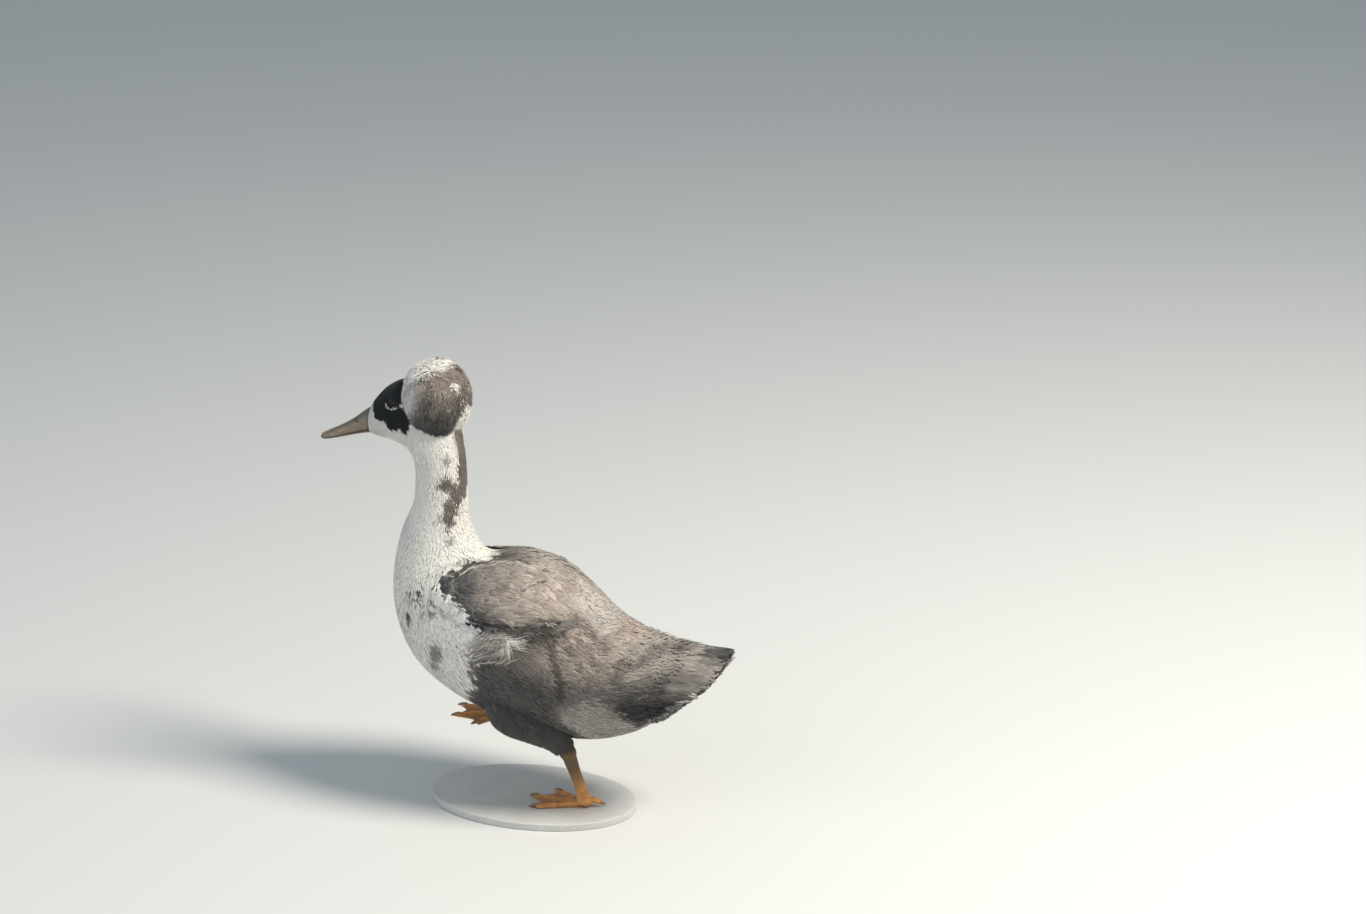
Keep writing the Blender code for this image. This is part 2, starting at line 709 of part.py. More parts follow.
def make_thigh(name, mirror, shift, parts, tools, feather):
    """The feathered thigh: a flattened tapering tube from the flank to the hock, cut clear of the torso."""
    points = np.array([along(thigh_path, p) for p in np.linspace(0, len(thigh_path) - 1, 10)])
    path = points[:, :3] * np.array([1, mirror, 1])
    share = np.linspace(0, 1, len(path))[:, None]
    path += np.array(shift) * share**0.7
    thigh = make_object(name, *loft(tube(path, points[:, 3], thigh_flat, 14)), feather, parts)
    cut_by_body(thigh, 0, neck_cut, tools)
    return thigh


def shank_tube(hock, toe_base, grow=0.0):
    """Rings of the bare shank from the hock to the toes, grown all round for the cutter."""
    hock, toe_base = np.array(hock), np.array(toe_base)
    shares = np.linspace(0, 1, 8)
    way = (toe_base - hock) / np.linalg.norm(toe_base - hock)
    path = [hock - way * grow + (toe_base - hock + 2 * way * grow) * s for s in shares]
    top, bottom = shank_radius
    radii = [top + (bottom - top) * min(1.0, s * 2.2) + 0.0012 * max(0.0, s - 0.8) * 5 + grow for s in shares]
    return tube(path, radii, shank_flat)


def cut_for_shank(thing, hock, toe_base, tools):
    """Makes room for the shank's end in the thigh or in the foot."""
    material = thing.data.materials[0]
    cutter = make_object("cutter", *loft(shank_tube(hock, toe_base, gap)), material, tools)
    apply_boolean(thing, cutter, "DIFFERENCE", "MANIFOLD")  # the exact solver leaves the toes' edges open
    remove(cutter)
    keep_largest(thing)


def foot_height(radius, angle):
    """Top of the foot over its sole: a ridge along each toe and the web between."""
    high = web_height
    for toe, length in zip(toe_angles, toe_lengths):
        off = radius * math.radians(angle - toe)
        ridge = toe_height * (1 - 0.45 * radius / length)
        high = max(high, web_height + (ridge - web_height) * math.exp(-((off / toe_width) ** 2)))
    return high


def web_edge(angle):
    """How far the foot reaches in a direction: the toe tips, and a hollow front edge of the web between."""
    outer, middle, inner = toe_angles
    if angle < middle:
        share = (angle - outer) / (middle - outer)
        straight = toe_lengths[0] + (toe_lengths[1] - toe_lengths[0]) * share
    else:
        share = (angle - middle) / (inner - middle)
        straight = toe_lengths[1] + (toe_lengths[2] - toe_lengths[1]) * share
    return straight - web_hollow * math.sin(math.pi * share)


def make_foot(name, side, matrix, parts, tools, skin_orange):
    """A webbed foot with a flat sole, its toes along -X and its sole at z 0 before it is put in place."""
    outer, _, inner = toe_angles
    rows, columns = foot_grid
    angles = np.linspace(outer - foot_margin, inner + foot_margin, rows)
    shares = np.linspace(0, 1, columns)
    top, sole = [], []
    for angle in angles:
        beside = angle < outer or angle > inner
        reach = web_edge(min(max(angle, outer), inner)) * (0.93 if beside else 1.0)
        turn = math.radians(angle)
        for share in shares:
            radius = foot_heel + (reach - foot_heel) * share
            x, y = foot_heel - radius * math.cos(turn), side * radius * math.sin(turn)
            at_edge = angle in (angles[0], angles[-1]) or share == 1
            top.append((x, y, foot_height(radius, angle) * (0.55 if at_edge else 1.0)))
            sole.append((x, y, 0.0))
    foot = make_object(name, *plate(top, sole, rows, columns), skin_orange, parts)
    pieces = [make_claw(side, *toe, tools, skin_orange) for toe in zip(toe_angles, toe_lengths)]
    pieces.append(make_hind_toe(side, tools, skin_orange))
    pieces.append(ball("knuckle", knuckle_at, knuckle_size, skin_orange, tools, 12, 8))
    fuse(foot, pieces, "MANIFOLD")  # the exact solver leaves open edges where the claws lie in the toes
    foot.data.transform(matrix)
    return foot


def make_claw(side, turn, length, tools, horn):
    """A short claw that runs on from the end of a toe and curves down."""
    turn = math.radians(turn)
    way = np.array([-math.cos(turn), side * math.sin(turn), 0])
    start = np.array([foot_heel, 0, 0]) + way * (length - foot_heel)
    path = []
    for share in (-0.2, 0.4, 1.0):
        high = claw_high * (1 - share * share / 2)
        path.append(start + way * claw_length * share + np.array([0, 0, high]))
    return make_object("claw", *loft(level_tube(path, claw_radii)), horn, tools)


def level_tube(path, radii, sides=6):
    """Rings of a round tube along a nearly level path."""
    path = np.asarray(path, float)
    around = np.linspace(0, 2 * math.pi, sides, endpoint=False)
    rings = []
    for i, (point, radius) in enumerate(zip(path, radii)):
        tangent = path[min(i + 1, len(path) - 1)] - path[max(i - 1, 0)]
        tangent /= np.linalg.norm(tangent)
        sideways = np.cross([0, 0, 1.0], tangent)
        sideways /= np.linalg.norm(sideways)
        up = np.cross(tangent, sideways)
        rings.append(point + radius * (np.cos(around)[:, None] * sideways + np.sin(around)[:, None] * up))
    return rings


def make_hind_toe(side, tools, skin_orange):
    path = [(x, -side * y, z) for x, y, z, _ in hind_toe]
    radii = [radius for *_, radius in hind_toe]
    return make_object("hind", *loft(level_tube(path, radii)), skin_orange, tools)


def make_base(parts, paint):
    """An oval plate under the planted foot, wide enough to carry the body that leans ahead of it."""
    bm = bmesh.new()
    bmesh.ops.create_cone(bm, cap_ends=True, segments=base_sides, radius1=1, radius2=1, depth=base_thickness)
    length, width = base_size
    bmesh.ops.scale(bm, vec=(length / 2, width / 2, 1.0), verts=bm.verts)
    middle = (base_middle[0], base_middle[1], -gap - base_thickness / 2)
    bmesh.ops.translate(bm, vec=middle, verts=bm.verts)
    rims = [e for e in bm.edges if len(e.link_faces) == 2 and e.calc_face_angle() > 1.0]
    bmesh.ops.bevel(bm, geom=rims, offset=base_round, segments=1, affect="EDGES", profile=0.5)
    mesh = bpy.data.meshes.new("stand_base")
    bm.to_mesh(mesh)
    bm.free()
    mesh.shade_smooth()
    mesh.set_sharp_from_angle(angle=sharp_angle)
    add_object("stand_base", mesh, paint, parts)


def centre_on_floor(parts):
    """Moves every piece so that the whole stands on the floor, its box centred on the origin."""
    corners = np.array([v.co for thing in parts.objects for v in thing.data.vertices])
    low, high = corners.min(0), corners.max(0)
    shift = Vector((-(low[0] + high[0]) / 2, -(low[1] + high[1]) / 2, -low[2]))
    for thing in parts.objects:
        thing.data.transform(Matrix.Translation(shift))


def main():
    clear_scene()
    parts = make_collection("crested_duck")
    tools = make_collection("cutters", hidden=True)
    gray = make_material("gray_brown_feather", (0.27, 0.24, 0.22), 0.85)
    pale = make_material("white_feather", (0.80, 0.78, 0.72), 0.85)
    tuft = make_material("crest_feather", (0.36, 0.31, 0.28), 0.9)
    horn = make_material("bill_horn", (0.30, 0.22, 0.16), 0.45)
    orange = make_material("leg_skin", (0.80, 0.38, 0.10), 0.5)
    dark = make_material("eye", (0.02, 0.02, 0.02), 0.08)
    stone = make_material("base_paint", (0.62, 0.61, 0.58), 0.6)
    make_body(parts, gray, pale)
    chart = torso_chart()
    make_wing("wing_left", -1, chart, gray, parts, tools)
    make_wing("wing_right", 1, chart, gray, parts, tools)
    make_tail(parts, tools, gray)
    make_crest(parts, tools, tuft)
    make_eyes(parts, tools, dark, gray)
    make_bill(parts, tools, horn)
    legs = (
        ("left", 1, (0, 0, 0), hock_left, toe_base_left),
        ("right", -1, thigh_shift_right, hock_right, toe_base_right),
    )
    place_left = Matrix.Translation((toe_base_left[0], toe_base_left[1], 0)) @ Matrix.Rotation(
        math.radians(foot_turn_left), 4, "Z"
    )
    place_right = (
        Matrix.Translation(Vector(toe_base_right) - Vector((0, 0, foot_drop)))
        @ Matrix.Rotation(math.radians(foot_turn_right), 4, "Z")
        @ Matrix.Rotation(math.radians(foot_pitch_right), 4, "Y")
        @ Matrix.Rotation(math.radians(foot_roll_right), 4, "X")
    )
    for side, mirror, shift, hock, toe_base in legs:
        make_object("shank_" + side, *loft(shank_tube(hock, toe_base)), orange, parts)
        thigh = make_thigh("thigh_" + side, mirror, shift, parts, tools, gray)
        cut_for_shank(thigh, hock, toe_base, tools)
        place = place_left if side == "left" else place_right
        foot = make_foot("foot_" + side, mirror, place, parts, tools, orange)
        cut_for_shank(foot, hock, toe_base, tools)
    make_base(parts, stone)
    centre_on_floor(parts)


main()
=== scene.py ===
import math

import bpy
import numpy as np
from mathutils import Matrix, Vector
from mathutils.bvhtree import BVHTree


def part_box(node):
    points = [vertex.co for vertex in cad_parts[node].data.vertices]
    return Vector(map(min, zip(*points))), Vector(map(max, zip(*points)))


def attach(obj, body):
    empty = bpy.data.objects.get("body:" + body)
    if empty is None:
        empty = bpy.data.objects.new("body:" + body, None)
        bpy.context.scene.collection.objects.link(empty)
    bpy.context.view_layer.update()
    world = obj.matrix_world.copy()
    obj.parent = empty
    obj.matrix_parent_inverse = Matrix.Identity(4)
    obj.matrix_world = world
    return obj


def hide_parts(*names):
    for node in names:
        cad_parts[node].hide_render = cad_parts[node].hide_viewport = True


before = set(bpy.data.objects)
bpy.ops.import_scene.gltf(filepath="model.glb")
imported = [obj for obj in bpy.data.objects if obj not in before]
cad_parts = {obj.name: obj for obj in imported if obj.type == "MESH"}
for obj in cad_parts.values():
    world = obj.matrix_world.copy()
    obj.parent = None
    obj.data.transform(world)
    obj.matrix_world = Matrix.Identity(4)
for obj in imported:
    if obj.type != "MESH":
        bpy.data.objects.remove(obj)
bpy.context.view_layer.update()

# metres everywhere; the duck faces -X and its left side is -Y
draw = np.random.default_rng(2024)
tau = 2 * math.pi

# The body as one tube from tail to bill: x, z on the back, x, z on the belly, half width
bodyRows = np.array([
    (0.18, 0.19, 0.172, 0.16, 0.018),
    (0.158, 0.192, 0.15, 0.132, 0.034),
    (0.136, 0.197, 0.126, 0.106, 0.046),
    (0.11, 0.205, 0.098, 0.09, 0.057),
    (0.08, 0.22, 0.062, 0.081, 0.067),
    (0.048, 0.245, 0.024, 0.08, 0.074),
    (0.014, 0.267, -0.018, 0.087, 0.077),
    (-0.02, 0.275, -0.062, 0.102, 0.077),
    (-0.044, 0.274, -0.104, 0.122, 0.072),
    (-0.058, 0.272, -0.138, 0.149, 0.064),
    (-0.066, 0.273, -0.158, 0.184, 0.055),
    (-0.072, 0.278, -0.166, 0.222, 0.047),
    (-0.078, 0.289, -0.164, 0.258, 0.039),
    (-0.084, 0.307, -0.155, 0.294, 0.032),
    (-0.085, 0.33, -0.142, 0.324, 0.028),
    (-0.085, 0.359, -0.139, 0.353, 0.026),
    (-0.087, 0.387, -0.142, 0.374, 0.026),
    (-0.092, 0.412, -0.151, 0.384, 0.026),
    (-0.105, 0.437, -0.16, 0.387, 0.025),
    (-0.125, 0.454, -0.168, 0.389, 0.024),
    (-0.15, 0.456, -0.175, 0.39, 0.022),
    (-0.169, 0.447, -0.181, 0.391, 0.019),
    (-0.182, 0.434, -0.186, 0.392, 0.016),
    (-0.19, 0.423, -0.189, 0.392, 0.0135),
])
bodyShape = {"pear": 0.1, "tailRow": 2.0}
eyeSpot = {"x": -0.1585, "z": 0.435, "radius": 0.0056}

# The duck's own zero in the frame, from where the frame has the left eye
eyeLow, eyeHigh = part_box("eye_left")
duckZero = np.array([(eyeLow.x + eyeHigh.x) / 2 - eyeSpot["x"], 0.0,
                     (eyeLow.z + eyeHigh.z) / 2 - eyeSpot["z"]])


def throughRows(rows, place):
    # Catmull-Rom: a cubic through the rows, its slope at a row half the step from the row before to the
    # one after
    rows = np.asarray(rows, float)
    last = len(rows) - 1
    padded = np.vstack([2 * rows[0] - rows[1], rows, 2 * rows[-1] - rows[-2]])
    place = np.asarray(place, float)
    i = np.clip(np.floor(place).astype(int), 0, last - 1)
    t = (place - i)[..., None]
    p0, p1, p2, p3 = padded[i], padded[i + 1], padded[i + 2], padded[i + 3]
    return 0.5 * (2 * p1 + (p2 - p0) * t + (2 * p0 - 5 * p1 + 4 * p2 - p3) * t**2
                  + (3 * p1 - p0 - 3 * p2 + p3) * t**3)


def unit(vectors):
    # each vector divided by its length
    return vectors / np.maximum(np.linalg.norm(vectors, axis=-1, keepdims=True), 1e-12)


def pairs(first, second):
    # every value of one list with every value of the other, as two grids
    return np.meshgrid(first, second, indexing="ij")


def roundTurn(count):
    # count even steps round a circle
    return np.linspace(0, tau, count + 1)[:-1]


def bodySurface(s, t, out=0.0):
    # Ring s of the body tube: middle + up * cos(t) in the side view, sin(t) * (1 - pear * cos(t)) *
    # half across, both grown by out metres
    rows = throughRows(bodyRows, s)
    back, belly, half = rows[..., 0:2], rows[..., 2:4], rows[..., 4]
    middle, up = (back + belly) / 2, (back - belly) / 2
    depth = np.linalg.norm(up, axis=-1)
    high = np.cos(t) * (1 + out / depth)
    across = np.sin(t) * (1 - bodyShape["pear"] * np.cos(t)) * (half + out)
    return np.stack([middle[..., 0] + up[..., 0] * high, across, middle[..., 1] + up[..., 1] * high], -1)


def meshPiece(name, points, faces, material, smooth=True):
    # points in the duck's own frame, faces as a list of index arrays, each array of one corner count
    mesh = bpy.data.meshes.new(name)
    points = np.asarray(points, np.float32).reshape(-1, 3) + duckZero.astype(np.float32)
    corners = np.concatenate([f.reshape(-1) for f in faces]).astype(np.int32)
    counts = np.concatenate([np.full(len(f), f.shape[1], np.int32) for f in faces])
    starts = np.concatenate([[0], np.cumsum(counts)[:-1]]).astype(np.int32)
    mesh.vertices.add(len(points))
    mesh.vertices.foreach_set("co", points.ravel())
    mesh.loops.add(len(corners))
    mesh.loops.foreach_set("vertex_index", corners)
    mesh.polygons.add(len(counts))
    mesh.polygons.foreach_set("loop_start", starts)
    mesh.update(calc_edges=True)
    mesh.validate()
    mesh.polygons.foreach_set("use_smooth", np.full(len(counts), smooth))
    piece = bpy.data.objects.new(name, mesh)
    bpy.context.scene.collection.objects.link(piece)
    if material:
        mesh.materials.append(material)
    return piece


def facingOut(points, faces):
    # the faces of a closed shape, turned round if its volume (sum of a . (b x c) / 6 over its
    # triangles) is negative
    points = np.asarray(points).reshape(-1, 3)
    points = points - points.mean(0)
    volume = 0.0
    for f in faces:
        for k in range(1, f.shape[1] - 1):
            volume += (points[f[:, 0]] * np.cross(points[f[:, k]], points[f[:, k + 1]])).sum()
    return faces if volume > 0 else [f[:, ::-1] for f in faces]


def gridFaces(rows, columns, wrap=False):
    # quads of a grid of points, closed round its columns if wrap
    i, j = pairs(np.arange(rows - 1), np.arange(columns if wrap else columns - 1))
    a = i * columns + j
    b = i * columns + (j + 1) % columns
    return np.stack([a, b, b + columns, a + columns], -1).reshape(-1, 4)


def closedTube(rings):
    # points, quads and end fans of a closed tube through rings of points
    count, sides = rings.shape[:2]
    points = np.concatenate([rings.reshape(-1, 3), rings[0].mean(0)[None], rings[-1].mean(0)[None]])
    j, after = np.arange(sides), np.roll(np.arange(sides), -1)
    near = np.stack([np.full(sides, count * sides), after, j], -1)
    far = np.stack([np.full(sides, count * sides + 1), (count - 1) * sides + j,
                    (count - 1) * sides + after], -1)
    return points, gridFaces(count, sides, True), np.concatenate([near, far])


def tubePiece(name, rings, material):
    # a closed tube through rings of points as a piece
    points, quads, fans = closedTube(np.asarray(rings))
    return meshPiece(name, points, facingOut(points, [quads, fans]), material)


def plateFaces(rows, columns):
    # quads of a grid of points, of the same grid below it, and of the rim that joins them
    n, top = rows * columns, gridFaces(rows, columns)
    rim = np.array([*range(columns), *(i * columns + columns - 1 for i in range(1, rows)),
                    *((rows - 1) * columns + j for j in range(columns - 2, -1, -1)),
                    *(i * columns for i in range(rows - 2, 0, -1))])
    after = np.roll(rim, -1)
    return np.concatenate([top, top[:, ::-1] + n, np.stack([after, rim, rim + n, after + n], -1)])


def sideOf(side):
    # the ending of a piece's name
    return ".L" if side < 0 else ".R"


def setPoints(piece, name, kind, values):
    # an attribute on the points: FLOAT_VECTOR or FLOAT_COLOR
    key = {"FLOAT_VECTOR": "vector", "FLOAT_COLOR": "color"}[kind]
    made = piece.data.attributes.new(name, kind, "POINT")
    made.data.foreach_set(key, np.asarray(values, np.float32).ravel())


def setTint(piece, values):
    # three shares for the looks of bare skin, horn and eye
    setPoints(piece, "tint", "FLOAT_VECTOR", values)


def plainTone(piece, toneAt):
    # the marks of a smooth piece, with every point like a vane's middle
    at = pointsOf(piece)
    setPoints(piece, "tone", "FLOAT_COLOR", toneAt(at))
    setPoints(piece, "vane", "FLOAT_VECTOR", np.tile([0.3, 0.0, 0.5], (len(at), 1)))


# Plumage marks: how white, black, slate and fawn a place on the bird is, the rest is brown-grey

def ripple(points, size, seed):
    # smooth noise from -1 to 1: the mean of six waves of that size in directions drawn from the seed
    waves = np.random.default_rng(seed)
    ways = unit(waves.normal(size=(6, 3)))
    shift = waves.uniform(0, tau, 6)
    return np.sin(points @ ways.T * (tau / size) + shift).sum(-1) / 3.2


def soft(value, edge):
    # 0 below -edge, 1 above edge, smooth between
    t = np.clip(value / (2 * edge) + 0.5, 0, 1)
    return t * t * (3 - 2 * t)


def blob(points, centre, radii, edge=0.25):
    # 1 inside an ellipsoid, 0 outside, with a soft edge as a share of the radii
    return soft(1 - np.linalg.norm((points - np.array(centre)) / np.array(radii), axis=-1), edge)


def insideOutline(x, z, outline):
    # signed distance to a closed outline in the side view, positive inside: nearest edge, sign by crossings
    a = np.asarray(outline, float)
    b = np.roll(a, -1, 0)
    p = np.stack([x, z], -1)[:, None, :]
    ab = b - a
    share = np.clip(((p - a) * ab).sum(-1) / (ab**2).sum(-1), 0, 1)
    nearest = np.linalg.norm(p - a - share[..., None] * ab, axis=-1).min(1)
    span = (a[:, 1] > p[..., 1]) != (b[:, 1] > p[..., 1])
    rise = np.where(b[:, 1] == a[:, 1], 1e-9, b[:, 1] - a[:, 1])
    crossing = p[..., 0] < (b[:, 0] - a[:, 0]) * (p[..., 1] - a[:, 1]) / rise + a[:, 0]
    inside = (span & crossing).sum(1) % 2 == 1
    return np.where(inside, nearest, -nearest)


def strokeDistance(points, line):
    # distance from points to a line of points in space
    a, b = np.array(line[:-1], float), np.array(line[1:], float)
    ab = b - a
    p = points[:, None, :]
    share = np.clip(((p - a) * ab).sum(-1) / (ab**2).sum(-1), 0, 1)
    return np.linalg.norm(p - a - share[..., None] * ab, axis=-1).min(1)


marks = {
    "facePatch": [(-0.189, 0.434), (-0.1818, 0.4235), (-0.18, 0.415), (-0.1736, 0.4132), (-0.1655, 0.4137),
                  (-0.1643, 0.4066), (-0.1569, 0.4039), (-0.1486, 0.4071), (-0.1414, 0.4024), (-0.1382,
                          0.4085),
                  (-0.1371, 0.4173), (-0.133, 0.4258), (-0.14, 0.434), (-0.144, 0.442), (-0.144, 0.47),
                  (-0.189, 0.47)],
    "eyeArc": [(-0.166, 0.4318), (-0.1642, 0.4289), (-0.16, 0.4272), (-0.1555, 0.428), (-0.1528, 0.4303)],
    "neckStripe": [(-0.086, 0.0, 0.412), (-0.086, 0.0, 0.36), (-0.088, -0.01, 0.336),
                   (-0.094, -0.018, 0.319),
                   (-0.097, -0.022, 0.305)],
    "crestStreak": [(-0.088, -0.017, 0.46), (-0.0855, -0.013, 0.452), (-0.0843, -0.0085, 0.443),
                    (-0.0815, -0.002, 0.432), (-0.089, -0.001, 0.41)],
    "whiteBorder": [(-0.061, 0.0), (-0.062, 0.014), (-0.07, 0.021), (-0.0775, 0.0275), (-0.083, 0.037),
                    (-0.0875, 0.0424), (-0.0995, 0.0462), (-0.1125, 0.0485)],
    "mantleSpot": [(-0.083, -0.027, 0.269), (-0.079, -0.0225, 0.2715), (-0.072, -0.0205, 0.27)],
    "wedge": [(-0.052, -0.072, 0.206), (-0.036, -0.073, 0.205), (-0.022, -0.074, 0.202),
              (-0.04, -0.076, 0.193)],
    "groove": [(0.026, -0.064, 0.207), (0.036, -0.07, 0.183), (0.041, -0.073, 0.157),
               (0.042, -0.072, 0.145)],
    # middle, radii and strength
    "neckSpots": [((-0.0985, -0.0217, 0.352), (0.0082, 0.01, 0.008), 1.0),
                  ((-0.093, -0.015, 0.3455), (0.006, 0.01, 0.005), 1.0),
                  ((-0.099, -0.019, 0.379), (0.004, 0.01, 0.0065), 0.8),
                  ((-0.1041, -0.026, 0.318), (0.003, 0.006, 0.004), 0.6),
                  ((-0.1079, -0.028, 0.3105), (0.003, 0.006, 0.003), 0.6),
                  ((-0.095, -0.0245, 0.293), (0.004, 0.006, 0.004), 0.7)],
    "wingTop": [(-0.079, 0.2535), (-0.0753, 0.2574), (-0.0665, 0.2643), (-0.0512, 0.2681),
                (-0.0234, 0.2704),
                (-0.0055, 0.2674)],
    "wingLow": [(-0.115, 0.2447), (-0.089, 0.24), (-0.065, 0.2345), (-0.055, 0.225), (-0.0485, 0.2165),
                (-0.0264, 0.2145), (-0.006, 0.22), (0.0139, 0.2215), (0.0332, 0.2212), (0.04, 0.229)],
    "wingWhite": [(-0.115, 0.236), (-0.105, 0.244), (-0.098, 0.253), (-0.085, 0.261), (-0.077, 0.268)],
    "farRimHighlightShade": [(0.0214, 0.016, 0.2598), (0.032, 0.0195, 0.252), (0.0418, 0.0227, 0.2432)],
    "tailPale": [(0.112, 0.17), (0.124, 0.1772), (0.141, 0.1817), (0.158, 0.1856), (0.176, 0.1885)],
    "tailSlate": [(0.146, 0.1655), (0.1505, 0.1674), (0.1717, 0.175), (0.1909, 0.1846), (0.206, 0.193)],
    "tailLine": [(0.184, 0.181), (0.206, 0.1925)],
    "tailDark": [(0.1164, 0.1785), (0.1236, 0.1918), (0.14, 0.1925), (0.152, 0.193)],
    "tailBorder": [(0.118, 0.1), (0.104, 0.125), (0.094, 0.145), (0.087, 0.168), (0.091, 0.18),
                   (0.101, 0.193),
                   (0.113, 0.203)],
    "thighLine": [(-0.03, -0.044, 0.133), (-0.013, -0.05, 0.117), (0.01, -0.049, 0.102),
                  (0.029, -0.043, 0.087),
                  (0.04, -0.038, 0.0705)],
    "thighLineRight": [(-0.03, 0.044, 0.133), (-0.031, 0.056, 0.122), (-0.02, 0.058, 0.11),
                       (-0.01, 0.055, 0.097),
                       (-0.008, 0.053, 0.083)],
}


def headMarks(p):
    # white and black on the head, in the side view of either side
    x, z = p[:, 0], p[:, 2]
    ragged = 0.001 * ripple(p, 0.006, 3)
    black = soft(insideOutline(x, z, marks["facePatch"]) + ragged, 0.0008)
    arc = strokeDistance(np.stack([x, 0 * x, z], -1), [(a, 0, b) for a, b in marks["eyeArc"]])
    pale = soft(0.0006 - arc, 0.0005)
    pale = np.maximum(pale, soft(0.0019 - np.hypot(x + 0.1469, 0.7 * (z - 0.4325)), 0.0008))
    black = black * (1 - pale)
    return np.maximum(1 - black, pale), black


def sideStroke(p, line):
    # distance from points to a line of the side view
    flat = np.stack([p[:, 0], 0 * p[:, 0], p[:, 2]], -1)
    return strokeDistance(flat, [(x, 0, z) for x, z in line])


def tailMarks(p):
    # fluffy grey coverts, white along their top as a painted highlight, a pale band, slate feathers up to the
    # point, nearly black low down, a white fringe below
    x, y, z = p.T
    wob = 0.003 * ripple(p, 0.02, 31) + 0.002 * ripple(p, 0.008, 32)
    # streaks that climb towards the tail's point
    streaks = np.stack([0.35 * (0.955 * x + 0.296 * z), y, 1.8 * (0.955 * z - 0.296 * x)], -1)
    streak = ripple(streaks, 0.0085, 33) + 0.6 * ripple(streaks, 0.0045, 34)
    fleck = ripple(p, 0.009, 35) + 0.7 * ripple(p, 0.0045, 36)
    pale = soft(0.006 - sideStroke(p, marks["tailPale"]) + 0.6 * wob, 0.004)
    dark = soft(0.0068 - sideStroke(p, marks["tailSlate"]) + 0.6 * wob, 0.004)
    spots = soft(0.0034 - sideStroke(p, marks["tailDark"]) + 0.9 * wob, 0.003)
    under = soft(np.interp(x, [0.1, 0.15, 0.19], [0.158, 0.163, 0.178]) - z + wob, 0.007)
    deep = soft(np.interp(x, [0.095, 0.105, 0.12, 0.135, 0.15, 0.18],
                          [0.143, 0.15, 0.148, 0.142, 0.142, 0.152])
                - z + wob, 0.012)
    coverts = soft(0.15 - x + wob, 0.008) * (1 - under)
    slate = 0.42 + 0.3 * (streak * (1 - coverts) + fleck * coverts)
    slate = slate * (1 - 0.75 * pale) + 0.35 * soft(x - 0.182,
            0.012) + 0.65 * dark + 0.45 * spots + 0.45 * under
    black = 0.25 * dark + 0.64 * deep + 0.3 * spots + 0.16 * under + 0.46 * soft(x - 0.175, 0.006)
    black = np.maximum(black, 0.8 * soft(0.0013 - sideStroke(p, marks["tailLine"]), 0.0008))
    # the white along the coverts' top is a painted highlight
    white = 0.16 * pale * soft(0.176 - x, 0.004) + 0.08 * soft(streak - 0.6,
            0.3) + 0.14 * soft(z - 0.186 + wob, 0.004) * coverts
    rim = np.interp(x, [0.11, 0.126, 0.15, 0.178, 0.19], [0.1, 0.112, 0.1345, 0.159, 0.15])
    fringe = soft(rim - z + 0.5 * wob, 0.002)
    fawn = 0.3 * soft(z - 0.186 + wob, 0.005) * coverts + 0.3 * under * soft(streak - 0.2, 0.3) * (1 - deep)
    white = np.maximum(white * (1 - deep), 0.9 * fringe)
    tone = np.clip(np.stack([white, black * (1 - fringe), slate, fawn], -1), 0, 1)
    # the underside is an even grey cushion
    cushion = np.stack([0.14 + 0.06 * fleck, 0 * x, 0.5 + 0.2 * fleck, 0.25 + 0 * x], -1)
    below = (soft(0.034 - np.abs(y), 0.01) * soft(0.184 - z + wob, 0.008) * soft(x - 0.118, 0.012))[:, None]
    return tone * (1 - below) + np.clip(cushion, 0, 1) * below


def tailBorder(z):
    # how far back the tail's own marks begin at a height
    x, height = np.transpose(marks["tailBorder"])
    return np.interp(z, height, x)


